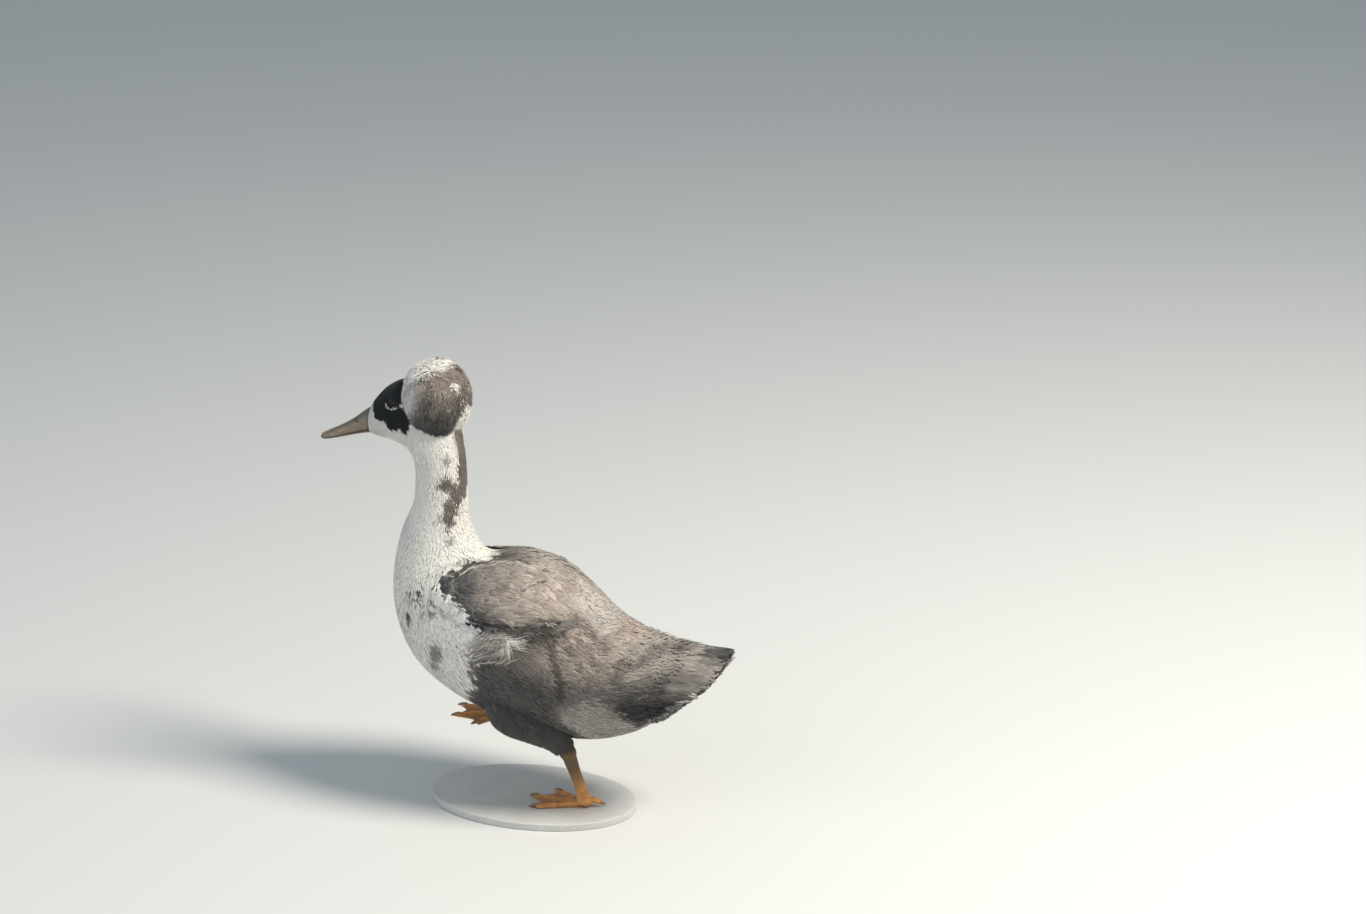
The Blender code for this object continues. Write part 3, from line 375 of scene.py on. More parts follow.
def bodyMarks(p):
    # the four shares on neck, torso and thighs; the side view's x and z, and how far from the middle plane
    x, z, side = p[:, 0], p[:, 2], np.abs(p[:, 1])
    mirrored = np.stack([x, -side, z], -1)
    leftish = soft(-p[:, 1], 0.004)
    wob = 0.0035 * ripple(p, 0.035, 5) + 0.0028 * ripple(p, 0.011, 6)
    fleck = ripple(p * [1, 1.7, 1.7], 0.016, 61) + 0.6 * ripple(p * [1, 1.7, 1.7], 0.007, 62)
    # white in front of a border that runs from the middle of the back down the flank
    top = np.interp(side, [b for _, b in marks["whiteBorder"]], [a for a, _ in marks["whiteBorder"]])
    flankLine = np.interp(z, [0.09, 0.125, 0.14, 0.155, 0.19, 0.215, 0.235, 0.25],
                          [-0.06, -0.074, -0.066, -0.057, -0.052, -0.05, -0.085, -0.11])
    border = np.where(z > 0.25, top, flankLine)
    white = soft(border - x + 1.4 * wob, 0.003)
    white = np.where(z > 0.285, 1.0, white)
    # brown stripe down the back of the neck, with spots beside it
    stripe = strokeDistance(p, marks["neckStripe"])
    width = np.interp(z, [0.3, 0.32, 0.335, 0.36, 0.4], [0.0035, 0.008, 0.0105, 0.0112, 0.012])
    brown = soft(width - stripe + 0.9 * wob + 0.0012 * fleck, 0.0014)
    ragged = p + 0.0022 * np.stack([ripple(p, 0.009, 71), 0 * x, ripple(p, 0.008, 72)], -1)
    for centre, radii, amount in marks["neckSpots"]:
        brown = np.maximum(brown, amount * blob(ragged, centre, radii, 0.3))
    white = white * (1 - brown)
    stripeTone = (0.45 + 0.1 * fleck) * brown
    # dark speckled mantle behind the white, black at the shoulder, specks on the breast's side
    behind = x - border
    mantle = soft(0.007 - np.abs(behind - 0.005) + 1.2 * wob, 0.003) * (z > 0.24)
    black = 0.75 * mantle * soft(fleck + 0.25, 0.35) * leftish
    black = np.maximum(black, 0.75 * blob(mirrored, (-0.086, -0.054, 0.2475), (0.013, 0.014, 0.0062), 0.5))
    spot = 0.85 * soft(0.0022 + 0.4 * wob - strokeDistance(mirrored, marks["mantleSpot"]), 0.0015)
    white, black = white * (1 - spot), np.maximum(black, 0.6 * spot)
    specks = 0.9 * blob(ragged, (-0.1349, -0.0496, 0.2105), (0.003, 0.008, 0.009), 0.3) * leftish
    near = blob(mirrored, (-0.11, -0.053, 0.236), (0.03, 0.02, 0.019), 0.5)
    specks = np.maximum(specks, 0.85 * soft(ripple(p * [1, 1, 1.7], 0.0095, 8) - 0.3, 0.14) * near)
    patch = blob(ragged, (-0.099, -0.0655, 0.18), (0.0085, 0.02, 0.011), 0.4)
    patch = np.maximum(patch, 0.9 * blob(ragged, (-0.1035, -0.06, 0.1655), (0.005, 0.02, 0.0085), 0.5))
    white = white * (1 - 0.8 * patch)
    dark = soft(behind + wob, 0.005) * (1 - white)
    # flank slate below, brown above; painted shade nearly black in its groove, under the wing and along its
    # lower edge, and just over its upper edge
    low = soft(0.178 - z + 2.5 * wob, 0.016) * soft(0.036 - x + 2 * wob, 0.01)
    flank = dark * (0.3 + 0.56 * low + 0.12 * fleck)
    slate = np.maximum(0.6 * patch, flank * soft(0.214 - z + wob, 0.012) * soft(0.05 - x + wob, 0.012))
    wisps = soft(0.005 + wob - strokeDistance(mirrored, marks["wedge"]), 0.005)
    cream = np.clip(0.42 + 0.4 * fleck, 0, 0.8) * wisps
    # the dark groove line is painted shade
    groove = strokeDistance(mirrored, marks["groove"])
    black = np.maximum(black, 0.7 * soft(0.0038 - groove + 0.5 * wob, 0.0022) * leftish)
    # a dark band under the wing and a dark line along its lower edge: painted shade
    under = soft(0.0075 - np.abs(z - 0.2085) + wob, 0.004) * soft(x + 0.012, 0.008) * soft(0.02 - x, 0.01)
    under = np.maximum(under, soft(0.0036 - sideStroke(p, marks["wingLow"]) + 0.3 * wob, 0.002)
                       * soft(x + 0.048, 0.004))
    # a dark strip just over the wing's upper edge: painted shade
    over = (soft(0.0026 - sideStroke(p + [0, 0, -0.0035], marks["wingTop"]) + 0.5 * wob, 0.002)
            * soft(-0.01 - x, 0.01))
    black = np.maximum(np.maximum(black, 0.6 * under), 0.6 * over * leftish)
    # a dark line beside the far wing's rim: painted shade
    far = strokeDistance(p, marks["farRimHighlightShade"])
    black = np.maximum(black, 0.45 * soft(0.0016 - np.abs(far - 0.004), 0.0012) * (p[:, 1] > 0.018))
    # pale vent and belly, with the vent's white share kept low and greyed as painted shade; fawn rump, white
    # over the upper back as a painted highlight; a slate belt of painted shade above the vent; slate towards
    # the tail
    vent = np.interp(x, [-0.02, 0.036, 0.042, 0.065, 0.087, 0.099, 0.116, 0.135, 0.16],
                     [0.1, 0.118, 0.137, 0.1435, 0.135, 0.127, 0.1195, 0.11, 0.1])
    pale = (soft(vent - 0.002 - z + 1.2 * wob + 0.002 * fleck, 0.022)
            * soft(x - 0.034 + wob + 0.002 * fleck, 0.018))
    pale = np.maximum(pale, 0.9 * soft(0.112 - z + wob, 0.01) * soft(0.052 - side, 0.012)
                      * soft(0.1 - x, 0.01))
    # the pale vent and belly take only a low white share: painted shade on white feathers
    white = np.maximum(np.maximum(white, (0.28 + 0.08 * fleck) * pale), cream)
    # white along the far wing's rim: a painted highlight
    white = np.maximum(white, 0.4 * soft(0.0018 - far, 0.0012))
    rump = soft(x - 0.022 + 2 * wob, 0.026) * soft(z - 0.172 + 2 * wob, 0.018)
    upper = soft(x + 0.03 + 2 * wob, 0.014) * soft(z - 0.258 + wob, 0.006)
    # the white share over the upper back is a painted highlight
    rump, white = np.maximum(rump, 0.9 * upper), np.maximum(white, 0.14 * upper)
    ridge = soft(0.034 - side + wob, 0.008) * soft(x - 0.034 + 2 * wob, 0.012) * soft(0.086 - x + wob, 0.01)
    white = np.maximum(white, (0.26 + 0.1 * fleck) * ridge * rump)
    fawn = rump * np.clip(0.8 + 0.2 * fleck, 0, 1)
    crumbs = ripple(p, 0.0125, 81) + 0.8 * ripple(p, 0.006, 82)
    mottled = soft(1 - np.hypot((x - 0.06) / 0.027, (z - 0.196) / 0.036) + 12 * wob, 0.4)
    fawn = fawn * (1 - mottled * np.clip(0.62 - 0.45 * crumbs, 0, 1))
    slate = np.maximum(slate, mottled * np.clip(0.2 - 0.3 * crumbs, 0, 0.55))
    # a slate belt just above the vent: painted shade
    shadeBelt = soft(0.168 - z + wob, 0.008) * soft(z - vent, 0.01) * soft(x - 0.04 + wob, 0.008)
    slate = np.maximum(slate, 0.7 * shadeBelt)
    slate = np.maximum(np.maximum(slate, dark * np.clip(0.25 * fleck, 0, 1)), stripeTone)
    # the thighs are dark down to the hock
    legs = np.minimum(strokeDistance(mirrored, marks["thighLine"]),
                      strokeDistance(p, marks["thighLineRight"]))
    girth = np.interp(z, [0.07, 0.087, 0.102, 0.117, 0.133], [0.015, 0.0215, 0.0275, 0.032, 0.029])
    thigh = soft(girth - legs + wob, 0.003) * soft(0.14 - z, 0.008)
    white = white * (1 - thigh)
    # slate 0.25 greys the pale vent and belly: painted shade
    slate = np.maximum(slate * (1 - pale) + 0.25 * pale, thigh * (0.85 + 0.15 * fleck))
    black = np.maximum(black * (1 - 0.9 * np.maximum(white, pale)), 0.42 * thigh)
    black = np.maximum(black, 0.08 * low * dark * (1 - pale))
    black = np.maximum(black, specks)
    tone = np.stack([white, black, slate, fawn * (1 - white)], -1)
    # the tail's own marks behind a border that bulges forwards low on the flank
    toTail = (soft(x - tailBorder(z) + wob, 0.004) * soft(z - vent + 0.01 + wob, 0.012))[:, None]
    return np.clip(tone * (1 - toTail) + tailMarks(p) * toTail, 0, 1)


def plumage(p):
    # the shares of white, black, slate and fawn at points in the duck's own frame
    p = np.asarray(p, float).reshape(-1, 3)
    tone = bodyMarks(p)
    white, black = headMarks(p)
    front = soft(-0.098 - p[:, 0] + 0.002 * ripple(p, 0.01, 9), 0.004)
    onHead = soft(p[:, 2] - 0.392 + 0.35 * (p[:, 0] + 0.13), 0.005) * front
    tone[:, 0] = tone[:, 0] * (1 - onHead) + white * onHead
    tone[:, 1] = tone[:, 1] * (1 - onHead) + black * onHead
    tone[:, 2:] *= (1 - onHead)[:, None]
    return tone


def crestMarks(p):
    # brown-grey; pinkish white over the top and front, blue-grey down the front sides, white low behind
    p = np.asarray(p, float).reshape(-1, 3)
    x, y, z = p.T
    mirrored = np.stack([x, -np.abs(y), z], -1)
    wob = 0.003 * ripple(p, 0.022, 11) + 0.0022 * ripple(p, 0.009, 12)
    fleck = ripple(p, 0.012, 13) + 0.7 * ripple(p, 0.0055, 14)
    line = np.interp(x, [-0.15, -0.138, -0.126, -0.115, -0.104, -0.09],
                     [0.445, 0.456, 0.466, 0.47, 0.4735, 0.487])
    white = soft(z - line + 0.5 * wob, 0.003)
    cool = blob(mirrored + wob[:, None], (-0.14, -0.022, 0.448), (0.02, 0.026, 0.02), 0.45)
    white = np.maximum(white, cool * np.clip(0.93 + 0.4 * fleck, 0, 1))
    width = np.interp(z, [0.404, 0.42, 0.431, 0.437, 0.441, 0.447, 0.451, 0.456, 0.461],
                      [0.015, 0.014, 0.0095, 0.0036, 0.0032, 0.003, 0.0004, 0.003, 0.0022])
    streak = strokeDistance(p, marks["crestStreak"])
    white = np.maximum(white, 0.95 * soft(width + 0.4 * wob - streak, 0.0012))
    fawn = 0.5 * soft(z - 0.448 + 2 * wob, 0.012) * soft(fleck + 0.3, 0.5)
    rear = soft(y - 0.004 + 2 * wob, 0.01) * soft(x + 0.104, 0.012)
    slate = np.clip(0.68 + 0.34 * fleck + 0.28 * rear + 0.5 * soft(0.424 - z + wob, 0.008), 0, 1)
    black = 0.16 * soft(fleck - 0.2, 0.5) + 0.22 * soft(0.414 - z + wob, 0.006)
    return np.clip(np.stack([white, black * (1 - white), slate * (1 - fawn), fawn], -1), 0, 1)


print("marks ready")


# A chart is a surface given by two parameters and a height over it, with the sign that turns its normal
# outwards, the sign of the way that its feathers lie along the first parameter, and its corner of the
# coat's unwrap

def makeChart(surface, lie, ranges, island):
    # the sign of its normal comes from a small step outwards at its middle
    middle = [np.array([(low + high) / 2]) for low, high in ranges]
    chart = {"surface": surface, "outward": 1.0, "lie": lie, "ranges": ranges, "island": island}
    normal = chartSlopes(chart, *middle)[2]
    rise = surface(*middle, 0.001) - surface(*middle)
    chart["outward"] = float(np.sign((normal * rise).sum()))
    return chart


def chartSlopes(chart, u, v):
    # the surface's two directions as central differences, and the normal as their cross product
    step, surface = 1e-3, chart["surface"]
    along = (surface(u + step, v) - surface(u - step, v)) / (2 * step)
    across = (surface(u, v + step) - surface(u, v - step)) / (2 * step)
    return along, across, unit(np.cross(along, across)) * chart["outward"]


def scatter(chart, tries, spacingAt, keep=None):
    # even places on a chart: random ones weighted by area, then one kept in each cell of the local spacing
    (u0, u1), (v0, v1) = chart["ranges"]
    u, v = draw.uniform(u0, u1, tries), draw.uniform(v0, v1, tries)
    along, across, _ = chartSlopes(chart, u, v)
    area = np.linalg.norm(np.cross(along, across), axis=-1)
    chosen = draw.uniform(size=tries) < area / np.quantile(area, 0.995)
    u, v = u[chosen], v[chosen]
    points = chart["surface"](u, v)
    if keep is not None:
        inside = keep(points, u, v)
        u, v, points = u[inside], v[inside], points[inside]
    spacing = spacingAt(points, u, v)
    level = np.round(np.log(spacing) / np.log(1.15))
    cells = np.floor(points / (1.15 ** level)[:, None]).astype(np.int64)
    key = ((level.astype(np.int64) * 4001 + cells[:, 0]) * 4001 + cells[:, 1]) * 4001 + cells[:, 2]
    _, first = np.unique(key, return_index=True)
    return u[first], v[first], points[first]


def strandTemplate(rings, widths, sweep=0.06):
    # a thin vane as a three-sided tube: left edge, ridge and right edge at each ring, drawn to a point
    # at the last
    count = len(rings) - 1
    side = np.append(np.tile([-1.0, 0.0, 1.0], count), 0.0)
    r = np.append(np.repeat(rings[:-1], 3), rings[-1])
    wide = np.append(np.repeat(widths[:-1], 3), 0.0)
    i, j = pairs(np.arange(count - 1), np.arange(3))
    a, b = i * 3 + j, i * 3 + (j + 1) % 3
    quads = np.stack([a, a + 3, b + 3, b], -1).reshape(-1, 4)
    last, tip = 3 * (count - 1), 3 * count
    tris = np.array([[0, 1, 2]] + [[last + (k + 1) % 3, last + k, tip] for k in range(3)])
    return {"r": r - sweep * np.abs(side) * r, "side": side, "wide": wide, "top": (side == 0) * 1.0,
            "quads": quads, "tris": tris, "under": np.zeros(len(r))}


def leafTemplate(rings, widths, columns, ragged=0.0, seed=1):
    # a broad vane as a closed plate: a grid of points above and the same below, joined along the rim
    rows, cols = len(rings), columns
    side = np.tile(np.linspace(-1, 1, cols), rows)
    r = np.repeat(rings, cols)
    wide = np.repeat(widths, cols)
    notch = np.random.default_rng(seed).uniform(-1, 1,
            rows * cols) * ragged * (np.abs(side) > 0.9) * (r > 0.3)
    r = r + 0.5 * notch
    wide = wide * (1 + notch)
    return {"r": np.tile(r, 2), "side": np.tile(side, 2), "wide": np.tile(wide, 2),
            "top": np.zeros(2 * len(r)),
            "quads": plateFaces(rows, cols)[:, ::-1], "tris": np.zeros((0, 3), int),
            "under": np.repeat([0.0, 1.0], len(r))}


def layVanes(chart, u, v, template, length, width, lean=0.0, sink=0.001, lift=0.001, rise=1.0,
             camber=0.0003,
             thick=0.0003, base=0.0, twist=0.0, bend=0.0):
    # Each vane follows its chart: from its root along the lie, turned by lean, its height going from
    # -sink to lift as share ** rise, its middle higher by camber and its tip bent sideways by bend
    count = len(u)
    length, width, lean, sink, lift, camber, thick, base, twist, bend = (
        np.broadcast_to(np.asarray(a, float), (count,))[:, None]
        for a in (length, width, lean, sink, lift, camber, thick, base, twist, bend))
    du, dv, normal = chartSlopes(chart, u, v)
    forward = unit(du) * chart["lie"]
    beside = np.cross(normal, forward)
    way = forward * np.cos(lean) + beside * np.sin(lean)
    aside = np.cross(normal, way)
    e, f, g = (du * du).sum(-1), (du * dv).sum(-1), (dv * dv).sum(-1)
    det = e * g - f * f
    # how much of u and v each metre of a direction is
    (wayU, wayV), (sideU, sideV) = (
        ((((d * du).sum(-1) * g - (d * dv).sum(-1) * f) / det)[:, None],
         (((d * dv).sum(-1) * e - (d * du).sum(-1) * f) / det)[:, None]) for d in (way, aside))
    r, side = template["r"][None, :], template["side"][None, :]
    far = r * length
    off = side * template["wide"][None, :] * width / 2 + bend * length * r**2
    high = -sink + (sink + lift) * np.clip(r, 0, 1.2) ** rise
    high = high + camber * (1 - np.abs(side)) * (1 - 0.5 * r) + base
    high = high + twist * side - template["under"][None, :] * thick * (1 - 0.5 * r)
    high = high + template["top"][None, :] * thick * (1 - 0.6 * r)
    points = chart["surface"](u[:, None] + far * wayU + off * sideU,
                              v[:, None] + far * wayV + off * sideV, high)
    shading = unit(normal[:, None, :] + 0.45 * side[..., None] * aside[:, None, :])
    shading = shading * (1 - 2 * template["under"])[None, :, None]
    (u0, u1), (v0, v1) = chart["ranges"]
    x0, y0, wide, tall = chart["island"]
    bakeRoot = np.stack([x0 + wide * (u - u0) / (u1 - u0), y0 + tall * (v - v0) / (v1 - v0)], -1)
    patch = np.stack([template["side"], 2 * np.clip(template["r"], 0, 1) - 1], -1) * 0.0015
    return {"points": points, "shading": shading, "middles": points.mean(1),
            "bake": bakeRoot[:, None, :] + patch[None],
            "template": template, "count": count,
            "vane": np.stack([np.broadcast_to(r, far.shape), np.broadcast_to(side, far.shape),
                              np.broadcast_to(draw.uniform(size=count)[:, None], far.shape)], -1)}


def coatPiece(name, layers, material, toneAt, extra=None, stray=0.0012):
    # joins layers of vanes, and any closed core, to one mesh with its tone, vane and bake maps; stray
    # metres of chance in where each vane reads its marks make their edges ragged
    points, shading, bake, vane, tone, quads, tris = [], [], [], [], [], [], []
    start = 0
    for layer in layers:
        n, k = layer["points"].shape[:2]
        offset = (start + np.arange(n) * k)[:, None, None]
        quads.append((layer["template"]["quads"][None] + offset).reshape(-1, 4))
        tris.append((layer["template"]["tris"][None] + offset).reshape(-1, 3))
        points.append(layer["points"].reshape(-1, 3))
        shading.append(np.broadcast_to(layer["shading"], (n, k, 3)).reshape(-1, 3))
        bake.append(layer["bake"].reshape(-1, 2))
        vane.append(layer["vane"].reshape(-1, 3))
        near = draw.normal(0, 1, layer["middles"].shape) * stray
        own = layer["tone"] if "tone" in layer else toneAt(layer["middles"] + near)
        tone.append(np.repeat(own, k, axis=0))
        start += n * k
    if extra is not None:
        corePoints, coreFaces, coreNormals, coreBake = extra
        quads.append(coreFaces + start)
        points.append(corePoints)
        shading.append(coreNormals)
        bake.append(coreBake)
        vane.append(np.tile([0.3, 0.0, 0.5], (len(corePoints), 1)))
        tone.append(toneAt(corePoints))
    points, shading = np.concatenate(points), np.concatenate(shading)
    faces = [np.concatenate(quads)] + ([np.concatenate(tris)] if sum(map(len, tris)) else [])
    piece = meshPiece(name, points, faces, material)
    mesh = piece.data
    setPoints(piece, "tone", "FLOAT_COLOR", np.concatenate(tone))
    setPoints(piece, "vane", "FLOAT_VECTOR", np.concatenate(vane))
    corners = np.zeros(len(mesh.loops), np.int32)
    mesh.loops.foreach_get("vertex_index", corners)
    bakeMap = mesh.uv_layers.new(name="OFBake")
    bakeMap.data.foreach_set("uv", np.concatenate(bake)[corners].astype(np.float32).ravel())
    mesh.normals_split_custom_set_from_vertices(shading.tolist())
    triangles = int(sum(len(f) * (f.shape[1] - 2) for f in faces))
    print(name, triangles, "triangles")
    return piece


# Charts of the body, the thighs, the wings, the tail and the crest

bodyChart = makeChart(bodySurface, -1.0, ((1.2, 22.9), (0.0, tau)), (0.01, 0.01, 0.58, 0.98))

thighShape = {
    "path": np.column_stack([marks["thighLine"], [0.026, 0.029, 0.0235, 0.017, 0.0105]]),
    "flat": 0.72, "shiftRight": np.array([-0.048, 0.015, 0.0125]),
}


def thighSurface(side):
    # an oval tube along the thigh's path: point + radius * (cos * deep + flat * sin * sideways)
    places = np.linspace(0, 1, 41)
    rows = throughRows(thighShape["path"], places * (len(thighShape["path"]) - 1))
    path = rows[:, :3] * np.array([1, 1 if side < 0 else -1, 1])
    if side > 0:
        path = path + thighShape["shiftRight"] * places[:, None] ** 0.7
    tangent = unit(np.gradient(path, axis=0))
    sideways = unit(np.cross(tangent, [1.0, 0, 0.01]))
    deep = np.cross(sideways, tangent)
    frameRows = np.concatenate([path, sideways, deep, rows[:, 3:]], axis=1)

    def surface(u, v, out=0.0):
        u, v = np.broadcast_arrays(np.asarray(u, float), v)
        at = np.clip(u, 0, 1.15) * 40
        i = np.clip(np.floor(at).astype(int), 0, 39)
        f = (at - i)[..., None]
        row = frameRows[i] * (1 - f) + frameRows[i + 1] * f
        radius = row[..., 9] + out
        wide = thighShape["flat"] * row[..., 9] + out
        return (row[..., 0:3] + (radius * np.cos(v))[..., None] * row[..., 6:9]
                + (wide * np.sin(v))[..., None] * row[..., 3:6])
    return surface


thighCharts = {side: makeChart(thighSurface(side), 1.0, ((0.0, 1.0), (0.0, tau)), corner)
               for side, corner in ((-1, (0.61, 0.01, 0.18, 0.3)), (1, (0.8, 0.01, 0.18, 0.3)))}

wingShape = {
    # place along the body, degrees from the back down to the upper and the lower edge, depth over the torso
    "line": np.array([(-0.11, 37, 43, 0.003), (-0.098, 29, 50, 0.008), (-0.076, 21, 59, 0.011),
                      (-0.05, 17, 67, 0.012), (-0.018, 15, 69, 0.011), (0.012, 18, 67, 0.0085),
                      (0.036, 27, 63, 0.0055), (0.052, 41, 56, 0.003)]),
    "axisZ": 0.185, "coreShare": 0.55,
}


def torsoChart():
    # the torso's surface on a grid of place along the body and angle down from the back, found by rays
    # to its axis
    s, t = pairs(np.linspace(0, 14, 113), np.linspace(0, tau, 97))
    tree = BVHTree.FromPolygons(bodySurface(s, t).reshape(-1, 3).tolist(), gridFaces(113, 97).tolist())
    places, angles = np.linspace(-0.15, 0.13, 57), np.radians(np.linspace(-20, 130, 61))
    grid = np.zeros((57, 61, 3))
    for i, x in enumerate(places):
        for j, angle in enumerate(angles):
            way = Vector((0, -math.sin(angle), math.cos(angle)))
            hit = tree.ray_cast(Vector((x, 0, wingShape["axisZ"])) + way * 0.3, -way)[0]
            grid[i, j] = hit if hit else Vector((x, 0, wingShape["axisZ"])) + way * 0.02
    return places, angles, grid


torsoGrid = torsoChart()


def onTorso(x, angle):
    # the torso's point at a place and an angle, between the four nearest points of its grid
    places, angles, grid = torsoGrid
    i = np.clip((x - places[0]) / (places[1] - places[0]), 0, len(places) - 1.001)
    j = np.clip((angle - angles[0]) / (angles[1] - angles[0]), 0, len(angles) - 1.001)
    i0, j0 = np.floor(i).astype(int), np.floor(j).astype(int)
    a, b = (i - i0)[..., None], (j - j0)[..., None]
    return (grid[i0, j0] * (1 - a) * (1 - b) + grid[i0 + 1, j0] * a * (1 - b)
            + grid[i0, j0 + 1] * (1 - a) * b + grid[i0 + 1, j0 + 1] * a * b)


def wingSurface(side):
    # over the torso by the wing's depth, crowned across it as sin ** 0.6 and thinned at both ends
    def surface(a, c, out=0.0):
        a, c = np.broadcast_arrays(np.asarray(a, float), c)
        row = throughRows(wingShape["line"], np.clip(a, -0.08, 1.12) * (len(wingShape["line"]) - 1))
        x = row[..., 0]
        angle = np.radians(row[..., 1] + (row[..., 2] - row[..., 1]) * c)
        crown = np.sin(np.pi * np.clip(c, 0.02, 0.98)) ** 0.6
        ends = np.minimum(1.0, 0.3 + 3.2 * np.minimum(np.clip(a, 0, 1), 1 - np.clip(a, 0, 1)))
        here = onTorso(x, angle)
        fore = onTorso(x + 0.006, angle) - onTorso(x - 0.006, angle)
        down = onTorso(x, angle + 0.05) - onTorso(x, angle - 0.05)
        normal = unit(np.cross(fore, down))
        radial = np.stack([0 * angle, -np.sin(angle), np.cos(angle)], -1)
        normal = normal * np.sign((normal * radial).sum(-1, keepdims=True))
        high = 0.0003 + wingShape["coreShare"] * row[..., 3] * crown * ends + out
        point = here + normal * high[..., None]
        return point * np.array([1, -side, 1])
    return surface


wingCharts = {side: makeChart(wingSurface(side), 1.0, ((0.0, 1.0), (0.0, 1.0)), corner)
              for side, corner in ((-1, (0.61, 0.33, 0.18, 0.3)), (1, (0.8, 0.33, 0.18, 0.3)))}

tailShape = {"end": (0.213, 0.194), "half": 0.042, "sweep": 0.034, "drop": 0.046,
             "quills": 14, "root": (0.146, 0.1865,
                     0.03), "quillWidth": 0.015, "layer": 0.0008, "sag": 0.0015}


def tailTip(across):
    # the tail's rear edge, from -1 on the left to 1 on the right
    x, z = tailShape["end"]
    return np.stack([x - tailShape["sweep"] * across**2, tailShape["half"] * across,
                     z - tailShape["drop"] * np.abs(across) ** 1.3], -1)


def tailSurface(share, turn, out=0.0):
    # from the body's ring at the tail to the rear edge, its underside easing in later than its top
    share, turn = np.broadcast_arrays(np.asarray(share, float), turn)
    root = bodySurface(np.full(share.shape, bodyShape["tailRow"]), turn)
    edge = tailTip(np.sin(turn)) + np.stack([0 * turn, 0 * turn, 0.0006 * np.cos(turn)], -1)
    full = np.clip(share, 0, 1.1)
    ease = np.where(np.cos(turn) < 0, full**1.25, full**0.8)
    point = root + (edge - root) * np.stack([share, share, ease], -1)
    outwards = np.stack([0 * turn, np.sin(turn), np.cos(turn)], -1)
    return point + outwards * np.asarray(out)[..., None] if np.ndim(out) else point + outwards * out


tailChart = makeChart(tailSurface, 1.0, ((0.0, 1.0), (0.0, tau)), (0.61, 0.66, 0.18, 0.15))


def fanSurface(share, across, out=0.0):
    # the fan of long tail feathers: straight from root to tip, sagging a little between
    share, across = np.broadcast_arrays(np.asarray(share, float), across)
    x, z, half = tailShape["root"]
    drop = 0.6 * tailShape["drop"] * np.abs(across) ** 1.3
    root = np.stack([x + 0 * across, half * across, z - drop], -1)
    point = root + (tailTip(across) - root) * share[..., None]
    lift = np.asarray(out) - tailShape["sag"] * np.sin(np.pi * np.clip(share, 0, 1))
    tilt = unit(np.stack([0.1 + 0 * across, 0.75 * across, 1 + 0 * across], -1))
    return point + tilt * lift[..., None]


fanChart = makeChart(fanSurface, 1.0, ((0.0, 1.0), (-1.0, 1.0)), (0.61, 0.83, 0.18, 0.13))

crestShape = {"middle": np.array([-0.115, 0.0, 0.438]), "radii": np.array([0.0372, 0.0378, 0.0434]),
              "poleBack": math.radians(8)}


def crestBall(pole, fore):
    # a ball round the crest's middle, by the angle from a pole and the angle round the pole from a
    # level direction
    pole, fore = np.array(pole, float), np.array(fore, float)
    beside = np.cross(fore, pole)

    def surface(polar, azimuth, out=0.0):
        polar, azimuth = np.broadcast_arrays(np.asarray(polar, float), azimuth)
        level = np.cos(azimuth)[..., None] * fore + np.sin(azimuth)[..., None] * beside
        way = np.cos(polar)[..., None] * pole + np.sin(polar)[..., None] * level
        return crestShape["middle"] + way * (crestShape["radii"] + np.asarray(out)[..., None])
    return surface


crestPole = np.array([math.sin(crestShape["poleBack"]), 0, math.cos(crestShape["poleBack"])])
crestSurface = crestBall(crestPole, (-crestPole[2], 0, crestPole[0]))
crestChart = makeChart(crestSurface, 1.0, ((0.02, 2.45), (0.0, tau)), (0.8, 0.66, 0.18, 0.2))
crownChart = makeChart(crestBall((-1, 0, 0), (0, 0, 1)), 1.0, ((0.6, 2.6), (-0.9, 0.9)),
                       (0.8, 0.87, 0.18, 0.11))


def fromCrown(p):
    # the angle between the crest's pole and a point of its ball
    return np.arccos(np.clip(unit((p - crestShape["middle"]) / crestShape["radii"]) @ crestPole, -1, 1))


print("charts ready")


# Materials: small helpers, then one shader group for all plumage

def addNode(tree, kind, **settings):
    # a new node with its settings
    node = tree.nodes.new(kind)
    for key, value in settings.items():
        setattr(node, key, value)
    return node


def feed(tree, socket, value):
    # a link if the value is a socket, or else the socket's own value
    if isinstance(value, bpy.types.NodeSocket):
        tree.links.new(value, socket)
    else:
        socket.default_value = value


def doMath(tree, operation, a, b=0.0):
    # one Math node
    node = addNode(tree, "ShaderNodeMath", operation=operation)
    feed(tree, node.inputs[0], a)
    feed(tree, node.inputs[1], b)
    return node.outputs[0]


def times(tree, a, b):
    # a * b
    return doMath(tree, "MULTIPLY", a, b)


def plus(tree, a, b):
    # a + b
    return doMath(tree, "ADD", a, b)


def partsOf(tree, name):
    # the three numbers of an attribute
    given = addNode(tree, "ShaderNodeAttribute", attribute_name=name)
    split = addNode(tree, "ShaderNodeSeparateXYZ")
    tree.links.new(given.outputs["Vector"], split.inputs["Vector"])
    return split.outputs


def brighter(tree, colour, by):
    # a colour times a number
    scale = addNode(tree, "ShaderNodeVectorMath", operation="SCALE")
    feed(tree, scale.inputs[0], colour)
    feed(tree, scale.inputs["Scale"], by)
    return scale.outputs["Vector"]


def remap(tree, value, low, high, toLow=0.0, toHigh=1.0, smooth=True):
    # from low..high to toLow..toHigh
    node = addNode(tree, "ShaderNodeMapRange", interpolation_type="SMOOTHSTEP" if smooth else "LINEAR")
    for name, number in (("From Min", low), ("From Max", high), ("To Min", toLow), ("To Max", toHigh)):
        node.inputs[name].default_value = number
    feed(tree, node.inputs["Value"], value)
    return node.outputs["Result"]


def mixColours(tree, share, a, b):
    # a * (1 - share) + b * share
    node = addNode(tree, "ShaderNodeMix", data_type="RGBA")
    feed(tree, node.inputs[0], share)
    feed(tree, node.inputs[6], a)
    feed(tree, node.inputs[7], b)
    return node.outputs[2]


